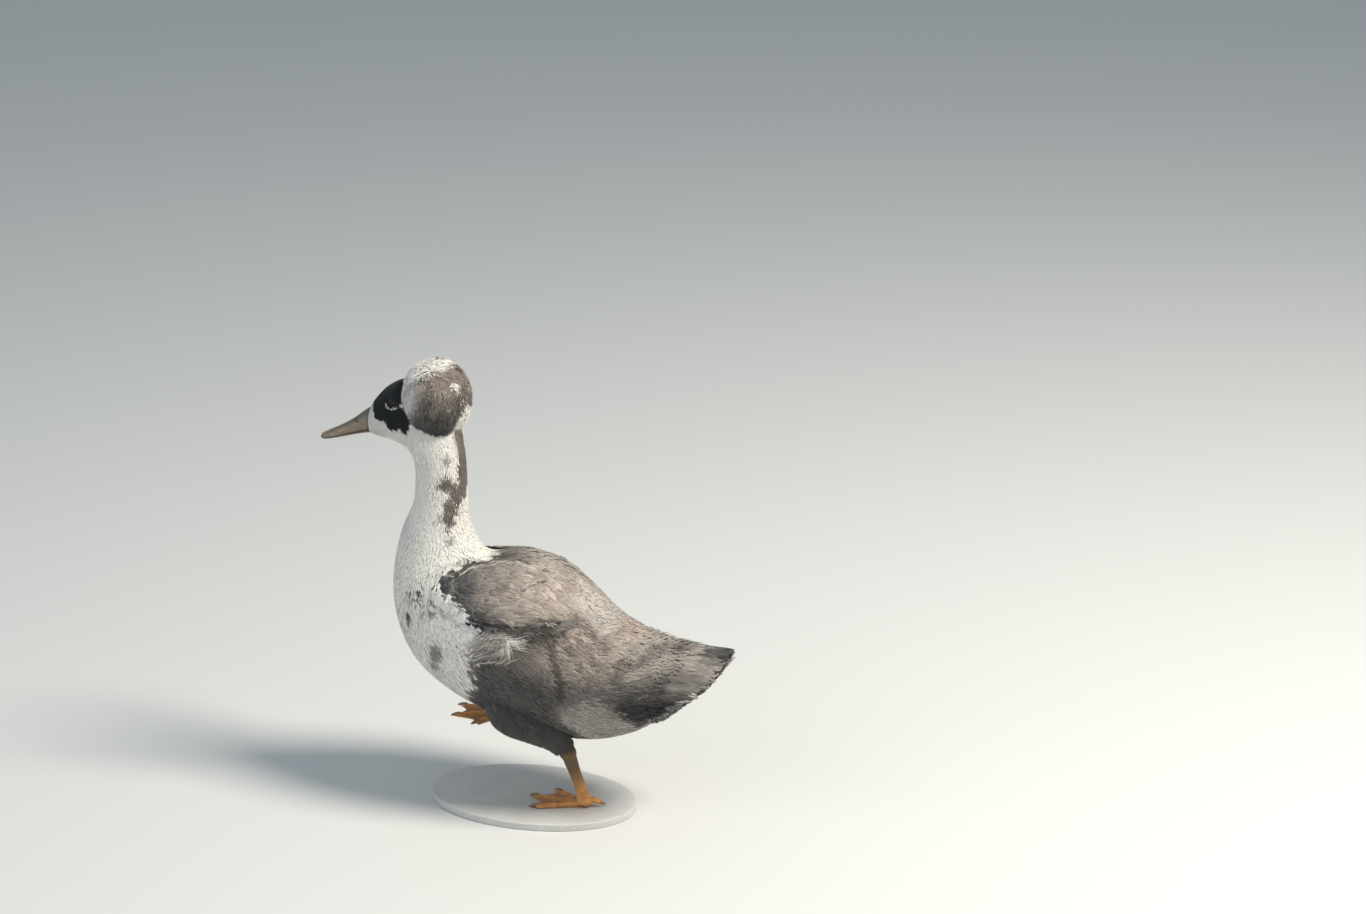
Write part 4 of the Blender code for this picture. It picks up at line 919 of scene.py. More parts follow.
def noiseAt(tree, size, detail=3.0, stretch=(1, 1, 1)):
    # noise in the object's own coordinates, with features about size metres across
    where = addNode(tree, "ShaderNodeTexCoord")
    scaled = addNode(tree, "ShaderNodeMapping")
    tree.links.new(where.outputs["Object"], scaled.inputs["Vector"])
    scaled.inputs["Scale"].default_value = [1 / (size * s) for s in stretch]
    noise = addNode(tree, "ShaderNodeTexNoise")
    noise.inputs["Scale"].default_value = 1.0
    noise.inputs["Detail"].default_value = detail
    noise.inputs["Roughness"].default_value = 0.55
    tree.links.new(scaled.outputs["Vector"], noise.inputs["Vector"])
    return noise.outputs["Fac"]


def newGroup(name, inputs, outputs):
    # an empty shader group with its sockets and its two end nodes
    tree = bpy.data.node_groups.new(name, "ShaderNodeTree")
    for label, kind, value in inputs:
        socket = tree.interface.new_socket(label, in_out="INPUT", socket_type=kind)
        socket.default_value = value
    for label, kind in outputs:
        tree.interface.new_socket(label, in_out="OUTPUT", socket_type=kind)
    return tree, addNode(tree, "NodeGroupInput"), addNode(tree, "NodeGroupOutput")


plumeColours = {
    "Grey": (0.215, 0.178, 0.15, 1), "Slate": (0.07, 0.066, 0.064, 1), "Fawn": (0.41, 0.335, 0.282, 1),
    "White": (0.86, 0.826, 0.76, 1), "Black": (0.011, 0.013, 0.015, 1),
}


def makePlumeGroup():
    # mixes the five plumage colours by the marks on the points, varies each vane, and rules it with
    # fine barbs
    inputs = [(label, "NodeSocketColor", value) for label, value in plumeColours.items()]
    inputs += [("Fringe", "NodeSocketFloat", 0.2), ("Barbs", "NodeSocketFloat", 0.5),
               ("Mottle", "NodeSocketFloat", 0.5)]
    tree, given, result = newGroup("plumeTone", inputs,
            [("Color", "NodeSocketColor"), ("Height", "NodeSocketFloat")])
    marksOn = addNode(tree, "ShaderNodeAttribute", attribute_name="tone")
    split = addNode(tree, "ShaderNodeSeparateColor")
    tree.links.new(marksOn.outputs["Color"], split.inputs["Color"])
    white, black, slate, fawn = split.outputs[0], split.outputs[1], split.outputs[2], marksOn.outputs["Alpha"]
    along, across, chance = partsOf(tree, "vane")
    colour = mixColours(tree, slate, given.outputs["Grey"], given.outputs["Slate"])
    colour = mixColours(tree, fawn, colour, given.outputs["Fawn"])
    # cloudy changes of tone over the body and a step of tone from vane to vane
    cloud = remap(tree, noiseAt(tree, 0.02, 4.0), 0.3, 0.7, -1.0, 1.0, smooth=False)
    grain = remap(tree, noiseAt(tree, 0.003, 3.0), 0.3, 0.7, -1.0, 1.0, smooth=False)
    wander = times(tree, plus(tree, times(tree, cloud, 0.34),
                                             times(tree, grain, 0.16)), given.outputs["Mottle"])
    step = times(tree, doMath(tree, "SUBTRACT", chance, 0.5), 0.36)
    level = plus(tree, plus(tree, wander, step), 1.0)
    colour = brighter(tree, colour, level)
    # pale edge along the vane's sides and its tip, and a dark shaft
    side = doMath(tree, "ABSOLUTE", across)
    rim = doMath(tree, "MAXIMUM", remap(tree, side, 0.55, 1.0), remap(tree, along, 0.8, 1.0))
    rim = times(tree, times(tree, rim, given.outputs["Fringe"]),
                 doMath(tree, "SUBTRACT", 1.0, black))
    lighter = mixColours(tree, 0.55, colour, given.outputs["White"])
    colour = mixColours(tree, rim, colour, lighter)
    whiteLevel = plus(tree, 1.0, times(tree, level, 0.1))
    paler = brighter(tree, given.outputs["White"], doMath(tree, "SUBTRACT", whiteLevel, 0.12))
    colour = mixColours(tree, white, colour, paler)
    colour = mixColours(tree, black, colour, given.outputs["Black"])
    # barbs: fine lines that leave the shaft at a slant
    slant = doMath(tree, "SUBTRACT", times(tree, along, 70.0), times(tree, side, 26.0))
    barbs = doMath(tree, "SINE", times(tree, slant, 3.0))
    shade = plus(tree, 1.0, times(tree, times(tree, barbs, 0.1), given.outputs["Barbs"]))
    height = plus(tree, times(tree, barbs, given.outputs["Barbs"]), times(tree, grain, 0.6))
    tree.links.new(brighter(tree, colour, shade), result.inputs["Color"])
    tree.links.new(height, result.inputs["Height"])
    return tree


plumeGroup = makePlumeGroup()


def makeMaterial(name, roughness, look):
    # an empty Principled material; look gets its tree and shader and adds the nodes
    material = bpy.data.materials.new(name)
    material.use_nodes = True
    tree = material.node_tree
    shader = tree.nodes["Principled BSDF"]
    shader.inputs["Roughness"].default_value = roughness
    look(tree, shader)
    return material


def bumpFrom(tree, shader, height, distance, strength=0.5):
    # fine relief of a height
    bump = addNode(tree, "ShaderNodeBump")
    bump.inputs["Strength"].default_value = strength
    bump.inputs["Distance"].default_value = distance
    tree.links.new(height, bump.inputs["Height"])
    tree.links.new(bump.outputs["Normal"], shader.inputs["Normal"])


def plumeMaterial(name, roughness=0.72, fringe=0.2, barbs=0.5, mottle=0.6, bump=0.0002, sheen=0.15):
    # a matt material of the plumage group with its own settings
    def look(tree, shader):
        tone = addNode(tree, "ShaderNodeGroup", node_tree=plumeGroup)
        tone.inputs["Fringe"].default_value = fringe
        tone.inputs["Barbs"].default_value = barbs
        tone.inputs["Mottle"].default_value = mottle
        tree.links.new(tone.outputs["Color"], shader.inputs["Base Color"])
        bumpFrom(tree, shader, tone.outputs["Height"], bump)
        shader.inputs["Sheen Weight"].default_value = sheen
        shader.inputs["Sheen Roughness"].default_value = 0.5
        shader.inputs["Specular IOR Level"].default_value = 0.25
    return makeMaterial(name, roughness, look)


downMaterial = plumeMaterial("downPlumage", fringe=0.1, barbs=0.25, mottle=0.7)
wingMaterial = plumeMaterial("wingPlumage", roughness=0.62, fringe=0.28, barbs=0.6, mottle=0.8)
tailMaterial = plumeMaterial("tailPlumage", roughness=0.62, fringe=0.22, barbs=0.9, mottle=0.8)
faceMaterial = plumeMaterial("facePlumage", roughness=0.6, fringe=0.0, barbs=0.1, mottle=0.4)
crestMaterial = plumeMaterial("crestPlumage", fringe=0.15, barbs=0.2, mottle=0.9)


def billLook(tree, shader):
    # brown-grey ridge, pinkish brown sides, orange-brown nail, near black painted shade in the nostril and
    # the mouth line; tint holds ridge, tip and pit shares
    ridge, tip, pit = partsOf(tree, "tint")
    blotch = noiseAt(tree, 0.0045, 4.0, stretch=(2.2, 1, 1))
    colour = mixColours(tree, remap(tree, blotch, 0.35, 0.7), (0.19, 0.142, 0.092, 1),
                        (0.275, 0.205, 0.138, 1))
    colour = mixColours(tree, ridge, colour, (0.098, 0.084, 0.055, 1))
    colour = mixColours(tree, tip, colour, (0.39, 0.29, 0.16, 1))
    freckle = remap(tree, noiseAt(tree, 0.0011, 2.0), 0.58, 0.72)
    colour = mixColours(tree, times(tree, freckle, 0.35), colour, (0.085, 0.06, 0.045, 1))
    # the nostril and the mouth line near black: painted shade in the hole and the gap
    colour = mixColours(tree, pit, colour, (0.02, 0.012, 0.01, 1))
    tree.links.new(colour, shader.inputs["Base Color"])
    bumpFrom(tree, shader, noiseAt(tree, 0.0008, 3.0, stretch=(3, 1, 1)), 0.0001, 0.35)
    rough = remap(tree, blotch, 0.2, 0.8, 0.36, 0.52, smooth=False)
    tree.links.new(rough, shader.inputs["Roughness"])


def legLook(tree, shader):
    # orange skin, browner towards the hock, darker in the creases as painted shade; tint holds how near the
    # hock, how much painted crease shade, how much claw
    hock, creaseShade, claw = partsOf(tree, "tint")
    blotch = remap(tree, noiseAt(tree, 0.008, 4.0), 0.32, 0.68)
    colour = mixColours(tree, blotch, (0.61, 0.255, 0.072, 1), (0.82, 0.395, 0.128, 1))
    colour = mixColours(tree, hock, colour, (0.078, 0.06, 0.027, 1))
    # painted shade in the creases
    colour = mixColours(tree, times(tree, creaseShade, 0.55), colour, (0.25, 0.1, 0.035, 1))
    cells = addNode(tree, "ShaderNodeTexVoronoi", feature="DISTANCE_TO_EDGE")
    where = addNode(tree, "ShaderNodeTexCoord")
    tree.links.new(where.outputs["Object"], cells.inputs["Vector"])
    cells.inputs["Scale"].default_value = 620.0
    gap = remap(tree, cells.outputs["Distance"], 0.0, 0.12)
    # darker edges round the small scales: painted shade
    colour = mixColours(tree, times(tree, doMath(tree, "SUBTRACT", 1.0, gap), 0.35), colour,
                        (0.33, 0.12, 0.03, 1))
    colour = mixColours(tree, claw, colour, (0.27, 0.16, 0.08, 1))
    tree.links.new(colour, shader.inputs["Base Color"])
    bumpFrom(tree, shader, gap, 0.00025, 0.6)
    tree.links.new(remap(tree, blotch, 0.0, 1.0, 0.42, 0.6, smooth=False), shader.inputs["Roughness"])


def eyeLook(tree, shader):
    # a black pupil in a very dark brown iris; tint's first number is the share of the way out from the
    # pupil
    out = partsOf(tree, "tint")[0]
    iris = mixColours(tree, remap(tree, noiseAt(tree, 0.0006, 3.0), 0.35, 0.65), (0.016, 0.009, 0.006, 1),
                      (0.034, 0.018, 0.01, 1))
    pupil = remap(tree, out, 0.5, 0.56)
    colour = mixColours(tree, pupil, (0.002, 0.002, 0.002, 1), iris)
    colour = mixColours(tree, remap(tree, out, 0.93, 1.0), colour, (0.008, 0.006, 0.006, 1))
    tree.links.new(colour, shader.inputs["Base Color"])
    shader.inputs["Specular IOR Level"].default_value = 0.08
    shader.inputs["Coat Weight"].default_value = 1.0
    shader.inputs["Coat IOR"].default_value = 1.36
    shader.inputs["Coat Roughness"].default_value = 0.03


def lidLook(tree, shader):
    # bare dark skin of the lids, finely pleated
    pleat = noiseAt(tree, 0.0005, 3.0)
    colour = mixColours(tree, remap(tree, pleat, 0.3, 0.7), (0.006, 0.006, 0.007, 1),
                        (0.016, 0.015, 0.015, 1))
    tree.links.new(colour, shader.inputs["Base Color"])
    shader.inputs["Specular IOR Level"].default_value = 0.2
    bumpFrom(tree, shader, pleat, 0.0001, 0.5)


def baseLook(tree, shader):
    # matt pale grey paint over wood: long faint grain and soft mottling
    grain = noiseAt(tree, 0.0016, 4.0, stretch=(26, 1, 1))
    cloud = noiseAt(tree, 0.05, 3.0)
    colour = mixColours(tree, remap(tree, grain, 0.3, 0.7), (0.54, 0.53, 0.505, 1), (0.64, 0.63, 0.6, 1))
    colour = mixColours(tree, remap(tree, cloud, 0.35, 0.7, 0.0, 0.5), colour, (0.5, 0.49, 0.465, 1))
    tree.links.new(colour, shader.inputs["Base Color"])
    bumpFrom(tree, shader, grain, 0.00025, 0.5)
    tree.links.new(remap(tree, grain, 0.2, 0.8, 0.52, 0.7, smooth=False), shader.inputs["Roughness"])


billMaterial = makeMaterial("billHorn", 0.45, billLook)
legMaterial = makeMaterial("legSkin", 0.5, legLook)
eyeMaterial = makeMaterial("eyeGloss", 0.08, eyeLook)
lidMaterial = makeMaterial("lidSkin", 0.45, lidLook)
baseMaterial = makeMaterial("basePaint", 0.6, baseLook)
print("materials ready")


# The skin: one remeshed body that lies under the coat

skinShape = {"voxel": 0.0022, "places": [0, 9, 12, 16, 19, 23],
             "depth": [0.0026, 0.0026, 0.002, 0.0014, 0.0009, 0.0006],
             "thigh": 0.0024}


def skinDepth(s):
    # how far the skin lies under the coat, between the given places
    return np.interp(s, skinShape["places"], skinShape["depth"])


def makeSkin():
    # three closed tubes, each shrunk by its depth, joined by a voxel remesh
    around = roundTurn(96)
    s, t = pairs(np.linspace(0.05, 22.95, 185), around)
    tubes = [closedTube(bodySurface(s, t, -skinDepth(s)))]
    for side in (-1, 1):
        u, v = pairs(np.linspace(0, 1, 60), around[::2])
        tubes.append(closedTube(thighSurface(side)(u, v, -skinShape["thigh"])))
    points, quads, tris, start = [], [], [], 0
    for tubePoints, tubeQuads, tubeTris in tubes:
        points.append(tubePoints)
        quads.append(tubeQuads + start)
        tris.append(tubeTris + start)
        start += len(tubePoints)
    piece = meshPiece("skin", np.concatenate(points), [np.concatenate(quads), np.concatenate(tris)],
                      faceMaterial)
    remesh = piece.modifiers.new("oneSkin", "REMESH")
    remesh.mode = "VOXEL"
    remesh.voxel_size = skinShape["voxel"]
    remesh.use_smooth_shade = True
    applyModifiers(piece)
    plainTone(piece, plumage)
    print("skin", len(piece.data.polygons) * 2, "triangles")
    return piece


def applyModifiers(piece):
    # the mesh as its modifiers make it, in place of the plain one
    bpy.context.view_layer.update()
    depsgraph = bpy.context.evaluated_depsgraph_get()
    made = bpy.data.meshes.new_from_object(piece.evaluated_get(depsgraph), depsgraph=depsgraph)
    old = piece.data
    piece.modifiers.clear()
    piece.data = made
    made.name = old.name
    bpy.data.meshes.remove(old)


def pointsOf(piece):
    # the mesh's points in the duck's own frame
    at = np.zeros(len(piece.data.vertices) * 3, np.float32)
    piece.data.vertices.foreach_get("co", at)
    return at.reshape(-1, 3).astype(float) - duckZero


skin = makeSkin()

# The coat of the body and thighs

# outlines of vanes that several coats share
bodyVane = strandTemplate([0, 0.35, 0.72, 1.0], [0.7, 1.0, 0.85, 0.12])
softVane = strandTemplate([0, 0.3, 0.65, 1.0], [0.6, 1.0, 0.9, 0.0])

coatShape = {
    # place along the body, vane length, width and spacing in mm
    "sizes": np.array([(1.2, 17, 4.2, 2.9), (5, 15, 3.6, 2.7), (8, 13, 3.0, 2.4), (10, 11, 2.5, 2.1),
                       (12, 9, 2.0, 1.8),
                       (14, 7.5, 1.6, 1.5), (16, 6.0, 1.4, 1.35), (18, 4.5, 1.1, 1.2), (20, 3.2, 0.9, 1.0),
                       (23, 2.4, 0.75, 0.85)]),
    "lift": 0.0009, "jitter": 0.16, "tries": 900000, "pieces": 6, "wisps": 0.3,
}


def wingEdges(p):
    # how many degrees a point of the torso is below the wing's upper edge, and above its lower edge
    x, down = p[:, 0], np.degrees(np.arctan2(np.abs(p[:, 1]), p[:, 2] - wingShape["axisZ"]))
    line = wingShape["line"]
    beside = (x < -0.104) | (x > 0.044)
    return [np.where(beside, -90, off) for off in (down - np.interp(x, line[:, 0], line[:, 1]),
                                                   np.interp(x, line[:, 0], line[:, 2]) - down)]


def inThigh(p, margin=0.0015):
    # whether a point is inside one of the thighs' tubes
    deep = np.zeros(len(p), bool)
    for side in (-1, 1):
        rings = thighSurface(side)(np.linspace(0, 1, 30)[:, None], np.array([[0.0, tau / 2, tau / 4]]))
        middles = (rings[:, 0] + rings[:, 1]) / 2
        radii = np.linalg.norm(rings[:, 0] - rings[:, 1], axis=-1) / 2
        gap = np.linalg.norm((p[:, None, :] - middles) * [1, 1 / thighShape["flat"], 1], axis=-1)
        deep |= (gap < radii - margin).any(1)
    return deep


def keepBody(p, s, t):
    # true where no wing, thigh, eye or crest covers the body
    atEye = (s > 17) & (np.hypot(p[:, 0] - eyeSpot["x"], p[:, 2] - eyeSpot["z"]) < 0.0052)
    inCrest = np.linalg.norm((p - crestShape["middle"]) / crestShape["radii"], axis=-1) < 0.72
    return (np.minimum(*wingEdges(p)) < 7) & ~inThigh(p) & ~atEye & ~inCrest


def coatSize(s, column):
    # a length of the table at a place along the body, in metres
    return np.interp(s, coatShape["sizes"][:, 0], coatShape["sizes"][:, column]) / 1000


def makeBodyCoat():
    # vanes of the table's sizes with fine wisps on a share of them, in pieces from tail to bill
    s, t, p = scatter(bodyChart, coatShape["tries"], lambda p, s, t: coatSize(s, 3), keepBody)
    count = len(s)
    vary = draw.uniform(0.8, 1.2, count)
    lean = draw.normal(0, coatShape["jitter"], count) + 0.25 * ripple(p, 0.03, 21)
    sink = skinDepth(s) + 0.0002
    lift = (coatShape["lift"] * draw.uniform(0.35, 0.95, count)
            * np.interp(s, [10, 17, 20], [1.0, 0.45, 0.25]))
    wispShape = strandTemplate([0, 0.55, 1.0], [0.8, 0.7, 0.1])
    order = np.argsort(s)
    made = []
    for number, chosen in enumerate(np.array_split(order, coatShape["pieces"])):
        layers = [layVanes(bodyChart, s[chosen], t[chosen], bodyVane,
                           coatSize(s[chosen], 1) * vary[chosen],
                           coatSize(s[chosen], 2), lean[chosen], sink[chosen], lift[chosen], rise=0.62,
                           camber=0.12 * coatSize(s[chosen], 2), thick=0.0002)]
        fine = chosen[draw.uniform(size=len(chosen)) < coatShape["wisps"]]
        layers.append(layVanes(bodyChart, s[fine], t[fine], wispShape,
                               coatSize(s[fine], 1) * vary[fine] * 0.9,
                               coatSize(s[fine], 2) * 0.22,
                               lean[fine] + draw.normal(0, 0.25, len(fine)), sink[fine],
                               lift[fine] + 0.001 * np.interp(s[fine], [12, 18], [1.0, 0.35]), rise=0.8,
                               camber=0.0, thick=0.0001))
        stray = 0.0004 if s[chosen].mean() > 17 else 0.0014
        made.append(coatPiece(f"bodyCoat.{number}", layers, downMaterial, plumage, stray=stray))
    return made


def makeThighCoat(side):
    # vanes over one thigh, where it stands out of the body
    chart = thighCharts[side]
    u, v, p = scatter(chart, 60000, lambda p, u, v: np.interp(u, [0, 1], [0.0026, 0.0014]))
    kept = ~bodyHolds(p) & (u < 0.89)
    u, v, p = u[kept], v[kept], p[kept]
    count = len(u)
    # shorter and finer towards the hock, where they close on the shank
    long = np.interp(u, [0, 0.65, 0.82, 0.9], [0.014, 0.01, 0.007, 0.0045]) * draw.uniform(0.8, 1.2, count)
    wide = np.interp(u, [0, 0.8, 1], [0.0036, 0.0022, 0.0012])
    layer = layVanes(chart, u, v, bodyVane,
                     long, wide, draw.normal(0, 0.2, count), skinShape["thigh"] + 0.0002,
                     0.0009 * draw.uniform(0.2, 1.0, count), rise=0.62, camber=0.0003, thick=0.0002)
    return coatPiece("thighCoat" + sideOf(side), [layer], downMaterial, plumage)


def bodyHolds(p, margin=0.0015):
    # whether points are inside the body's tube, by its nearest ring's section
    s, t = pairs(np.linspace(0, 12, 97), roundTurn(72))
    tree = BVHTree.FromPolygons(bodySurface(s, t, -margin).reshape(-1, 3).tolist(),
                                gridFaces(97, 72, True).tolist())
    inside = np.zeros(len(p), bool)
    for i, point in enumerate(p):
        near = tree.find_nearest(Vector(point))[0]
        middle = Vector((point[0], 0, 0.185))
        inside[i] = (near - middle).length > (Vector(point) - middle).length
    return inside


def bodyAt(x, z, side):
    # the chart's place of a point of the side view: the ring whose middle line passes nearest, then the
    # angle there
    s = np.linspace(2, 14, 481)
    rows = throughRows(bodyRows, s)
    middle, up = (rows[:, 0:2] + rows[:, 2:4]) / 2, (rows[:, 0:2] - rows[:, 2:4]) / 2
    p = np.stack([x, z], -1)[:, None, :] - middle
    high = (p * up).sum(-1) / (up**2).sum(-1)
    nearest = (np.linalg.norm(p - high[..., None] * up, axis=-1) + (np.abs(high) > 1)).argmin(1)
    turn = np.arccos(np.clip(high[np.arange(len(nearest)), nearest], -0.98, 0.98))
    return s[nearest], (tau - turn if side < 0 else turn)


tuftShape = {
    # roots from and to in the side view, their spread, count, length and width in mm, lean up, its
    # spread, bend, and the tone of the first and of the other vanes
    "groups": [
        ((-0.054, 0.186), (-0.026, 0.19), 0.006, 230, 22, 1.2, 1.05, 0.25, -0.25, (0.34, 0, 0.05, 0.5),
         (0.0, 0.1, 0.4, 0.4)),
        ((-0.05, 0.2), (-0.026, 0.204), 0.003, 120, 19, 1.1, 0.75, 0.25, -0.2, (0.6, 0, 0, 0.4),
         (0.1, 0, 0.2, 0.5)),
        ((-0.02, 0.2135), (-0.0165, 0.2075), 0.0022, 60, 22, 1.1, -0.83, 0.24, -0.4, (0.86, 0, 0, 0.2),
         (0.45, 0, 0, 0.5)),
        ((-0.017, 0.206), (-0.011, 0.2), 0.002, 56, 22, 1.1, 0.33, 0.2, 0.1, (0.88, 0, 0, 0.2),
         (0.45, 0, 0, 0.5)),
        # dark wisps along the wing's lower edge: painted shade
        ((-0.01, 0.215), (0.034, 0.22), 0.003, 240, 17, 1.5, 0.1, 0.3, 0.0, (0.0, 0.55, 0.5, 0.0),
         (0.0, 0.2, 0.5, 0.2)),
    ],
    "lift": 0.003,
}


def makeTufts(side):
    # wisps below the wing: cream ones that curl up and hang down, dark ones behind them along the wing's
    # lower edge as painted shade
    wisp = strandTemplate([0, 0.25, 0.5, 0.75, 1.0], [0.7, 1.0, 0.85, 0.5, 0.0])
    layers = []
    for start, end, spread, count, long, wide, lean, wander, bend, first, others in tuftShape["groups"]:
        along = draw.uniform(0, 1, (count, 1))
        roots = np.array(start) + along * (np.array(end) - start) + draw.normal(0, spread, (count, 2))
        s, t = bodyAt(*roots.T, side)
        layer = layVanes(bodyChart, s, t, wisp, long / 1000 * draw.uniform(0.6, 1.3, count),
                         wide / 1000 * draw.uniform(0.6, 1.5,
                                 count), -side * (lean + draw.normal(0, wander, count)), 0.0005,
                         tuftShape["lift"] * draw.uniform(0.2, 1.1, count), 0.7, 0.0002, 0.0002,
                         bend=-side * bend * draw.uniform(0.5, 1.5, count))
        layer["tone"] = np.where(draw.uniform(size=(count, 1)) < 0.6, first, others)
        layers.append(layer)
    return coatPiece("tufts" + sideOf(side), layers, downMaterial, plumage)


def makeScapulars():
    # longer feathers of the back that close the wings' upper edges
    def keep(p, s, t):
        below, above = wingEdges(p)
        return (below > -8) & (below < 2) & (above > 4)

    s, t, p = scatter(bodyChart, 500000, lambda p, s, t: 0 * s + 0.0034, keep)
    count = len(s)
    blade = strandTemplate([0, 0.25, 0.5, 0.75, 0.92, 1.0], [0.5, 0.85, 1.0, 0.85, 0.5, 0.0])
    down = np.where(p[:, 1] < 0, -1, 1) * np.interp(p[:, 0], [-0.1, -0.02, 0.04], [0.5, 0.32, 0.2])
    long = (np.interp(p[:, 0], [-0.1, -0.08, 0.0, 0.04], [0.01, 0.019, 0.019, 0.014])
            * draw.uniform(0.7, 1.2, count))
    lift = np.interp(p[:, 0], [-0.1, -0.06, -0.01, 0.03], [0.0024, 0.0032, 0.0026, 0.0012])
    layer = layVanes(bodyChart, s, t, blade, long, 0.0036 * draw.uniform(0.7, 1.2, count),
                     down + draw.normal(0, 0.14, count), skinDepth(s), lift * draw.uniform(0.7, 1.1,
                             count), 0.75,
                     0.0005, 0.0003)
    return coatPiece("scapulars", [layer], wingMaterial, plumage, stray=0.0018)


coat = [*makeBodyCoat(), makeScapulars()]
coat += [make(side) for make in (makeThighCoat, makeTufts) for side in (-1, 1)]
print("coat ready")

# Wings: a thin core over the torso and tiers of broad feathers

wingTiers = {
    # start along the wing, feathers across, length and width in mm
    "rows": [(-0.03, 6, 11, 7), (0.0, 7, 11, 7), (0.04, 8, 12, 7.5), (0.08, 9, 13, 8), (0.13, 10, 15, 9),
             (0.18, 10, 17, 9.5), (0.24, 10, 19, 10), (0.3, 10, 22, 11), (0.37, 10, 24, 11.5), (0.44, 10,
                     27, 12),
             (0.51, 9, 29, 13), (0.58, 9, 31, 13), (0.65, 8, 33, 13.5), (0.72, 7, 33, 13.5),
             (0.79, 6, 28, 12),
             (0.86, 4, 20, 10)],
    "sink": 0.0006, "lift": 0.001, "strands": 0.0024,
    # feathers that stand out: their line in the side view, count, length and width in mm, spread in mm and
    # tone; the dark ones are painted shade above the upper edge, between overlapping feathers and along the
    # lower edge, and the pale one along the upper edge is a painted highlight
    "strokes": [
        ([(-0.079, 0.2592), (-0.0712, 0.2655), (-0.0645, 0.2676), (-0.052, 0.2703)], 60, 9, 1.3, 0.8,
         (0, 0.55, 0.7, 0)),
        ([(-0.0771, 0.2572), (-0.0702, 0.2632), (-0.0641, 0.2652), (-0.0515, 0.2683), (-0.0334, 0.271),
          (-0.0161, 0.2701), (-0.0093, 0.2687)], 120, 10, 0.9, 0.4, (0.38, 0, 0, 0.6)),
        ([(-0.007, 0.2518), (0.002, 0.2564), (0.01, 0.2592)], 12, 8, 1.0, 0.3, (0, 0.1, 0.6, 0.2)),
        ([(-0.0073, 0.2535), (0.0008, 0.2579), (0.0093, 0.2609)], 22, 8, 0.9, 0.7, (0.42, 0, 0, 0.6)),
        ([(0.011, 0.2322), (0.026, 0.2254)], 14, 12, 1.3, 0.4, (0, 0.1, 0.7, 0.1)),
        ([(0.004, 0.2362), (0.0201, 0.2298), (0.027, 0.2252)], 26, 12, 1.6, 0.9, (0.14, 0, 0.1, 0.8)),
        ([(0.015, 0.2358), (0.027, 0.2298)], 14, 12, 1.6, 0.9, (0.08, 0, 0.1, 0.8)),
        ([(-0.0303, 0.2272), (-0.0153, 0.2195)], 22, 10, 1.2, 0.9, (0, 0.1, 0.8, 0.1)),
        ([(-0.0262, 0.2288), (-0.0102, 0.2214)], 16, 10, 1.2, 0.4, (0.1, 0, 0.1, 0.6)),
        ([(-0.048, 0.233), (-0.034, 0.224)], 20, 10, 1.2, 0.9, (0, 0.1, 0.8, 0.1)),
        ([(-0.06, 0.224), (-0.04, 0.2204), (-0.0198, 0.2192), (0.0213, 0.2202), (0.035, 0.2225)],
         130, 10, 1.1, 0.5, (0, 0.6, 0.9, 0)),
    ],
}


def wingMarks(p):
    # warm grey-brown, streaked; darkest at the shoulder and low down, with painted shade along the lower
    # edge, fawn at the rear
    p = np.asarray(p, float).reshape(-1, 3)
    x, z = p[:, 0], p[:, 2]
    wob = 0.004 * ripple(p, 0.03, 15) + 0.003 * ripple(p, 0.012, 16)
    # streaks that slope down to the rear
    streaks = np.stack([0.5 * (0.9 * x - 0.43 * z), p[:, 1], 1.7 * (0.9 * z + 0.43 * x)], -1)
    fleck = ripple(streaks, 0.013, 17) + 0.8 * ripple(streaks, 0.0065, 18)
    above = z - np.interp(x, *zip(*marks["wingLow"]))
    shoulder = soft(-0.081 - x + 2 * wob, 0.01)
    edge = soft(np.interp(x, [-0.09, -0.04, 0.0, 0.03], [0.016, 0.024, 0.012, 0.003]) - above + 1.5 * wob,
                0.006)
    edge = edge * soft(0.03 - x, 0.006)
    front = soft(-0.058 - x + 2 * wob, 0.016) * (1 - 0.8 * soft(p[:, 1], 0.004) * soft(z - 0.258, 0.004))
    # the black within 3 mm of the lower edge is painted shade
    black = np.clip(0.3 * shoulder + 0.2 * front + 0.24 * fleck * front, 0,
                    1) + 0.34 * soft(0.003 - above + wob, 0.003) * soft(0.034 - x, 0.004)
    slate = np.maximum(0.88 * np.maximum(shoulder, front), 0.76 * edge) + 0.28 * fleck + 0.12
    slate = slate + 0.3 * ripple(streaks, 0.026, 19)
    light = blob(p * [1, 0, 1], (-0.047, 0, 0.252), (0.013, 1, 0.008), 0.6) * soft(-p[:, 1], 0.004)
    slate = slate * (1 - 0.6 * light)
    fawn = soft(x + 0.024 + 2.5 * wob, 0.026) * soft(above - 0.004 + wob,
            0.008) * np.clip(0.74 + 0.3 * fleck, 0, 1)
    white = 0.1 * soft(fleck - 0.45, 0.3) * (1 - shoulder)
    # the breast's white feathers lie over the front of the lower edge
    breast = soft(-0.001 - above + 0.8 * wob, 0.002) * soft(-0.049 - x, 0.003)
    throat = np.interp(x, *zip(*marks["wingWhite"]))
    breast = np.maximum(breast, soft(z - throat + 0.6 * wob, 0.002) * soft(-0.076 - x, 0.002))
    white, black = np.maximum(white, breast), black * (1 - breast)
    return np.clip(np.stack([white, black, slate * (1 - fawn), fawn], -1), 0, 1)


def closedPlate(top, under):
    # points and quads of a plate between two grids of points, joined along the rim
    points = np.concatenate([top.reshape(-1, 3), under.reshape(-1, 3)])
    return points, facingOut(points, [plateFaces(*top.shape[:2])])[0]


def meshNormals(points, faces):
    # the mean of the faces' normals at each point
    a, b, c, d = (points[faces[:, k]] for k in range(4))
    normals = np.zeros_like(points)
    across = np.cross(c - a, d - b)
    for k in range(4):
        np.add.at(normals, faces[:, k], across)
    return unit(normals)


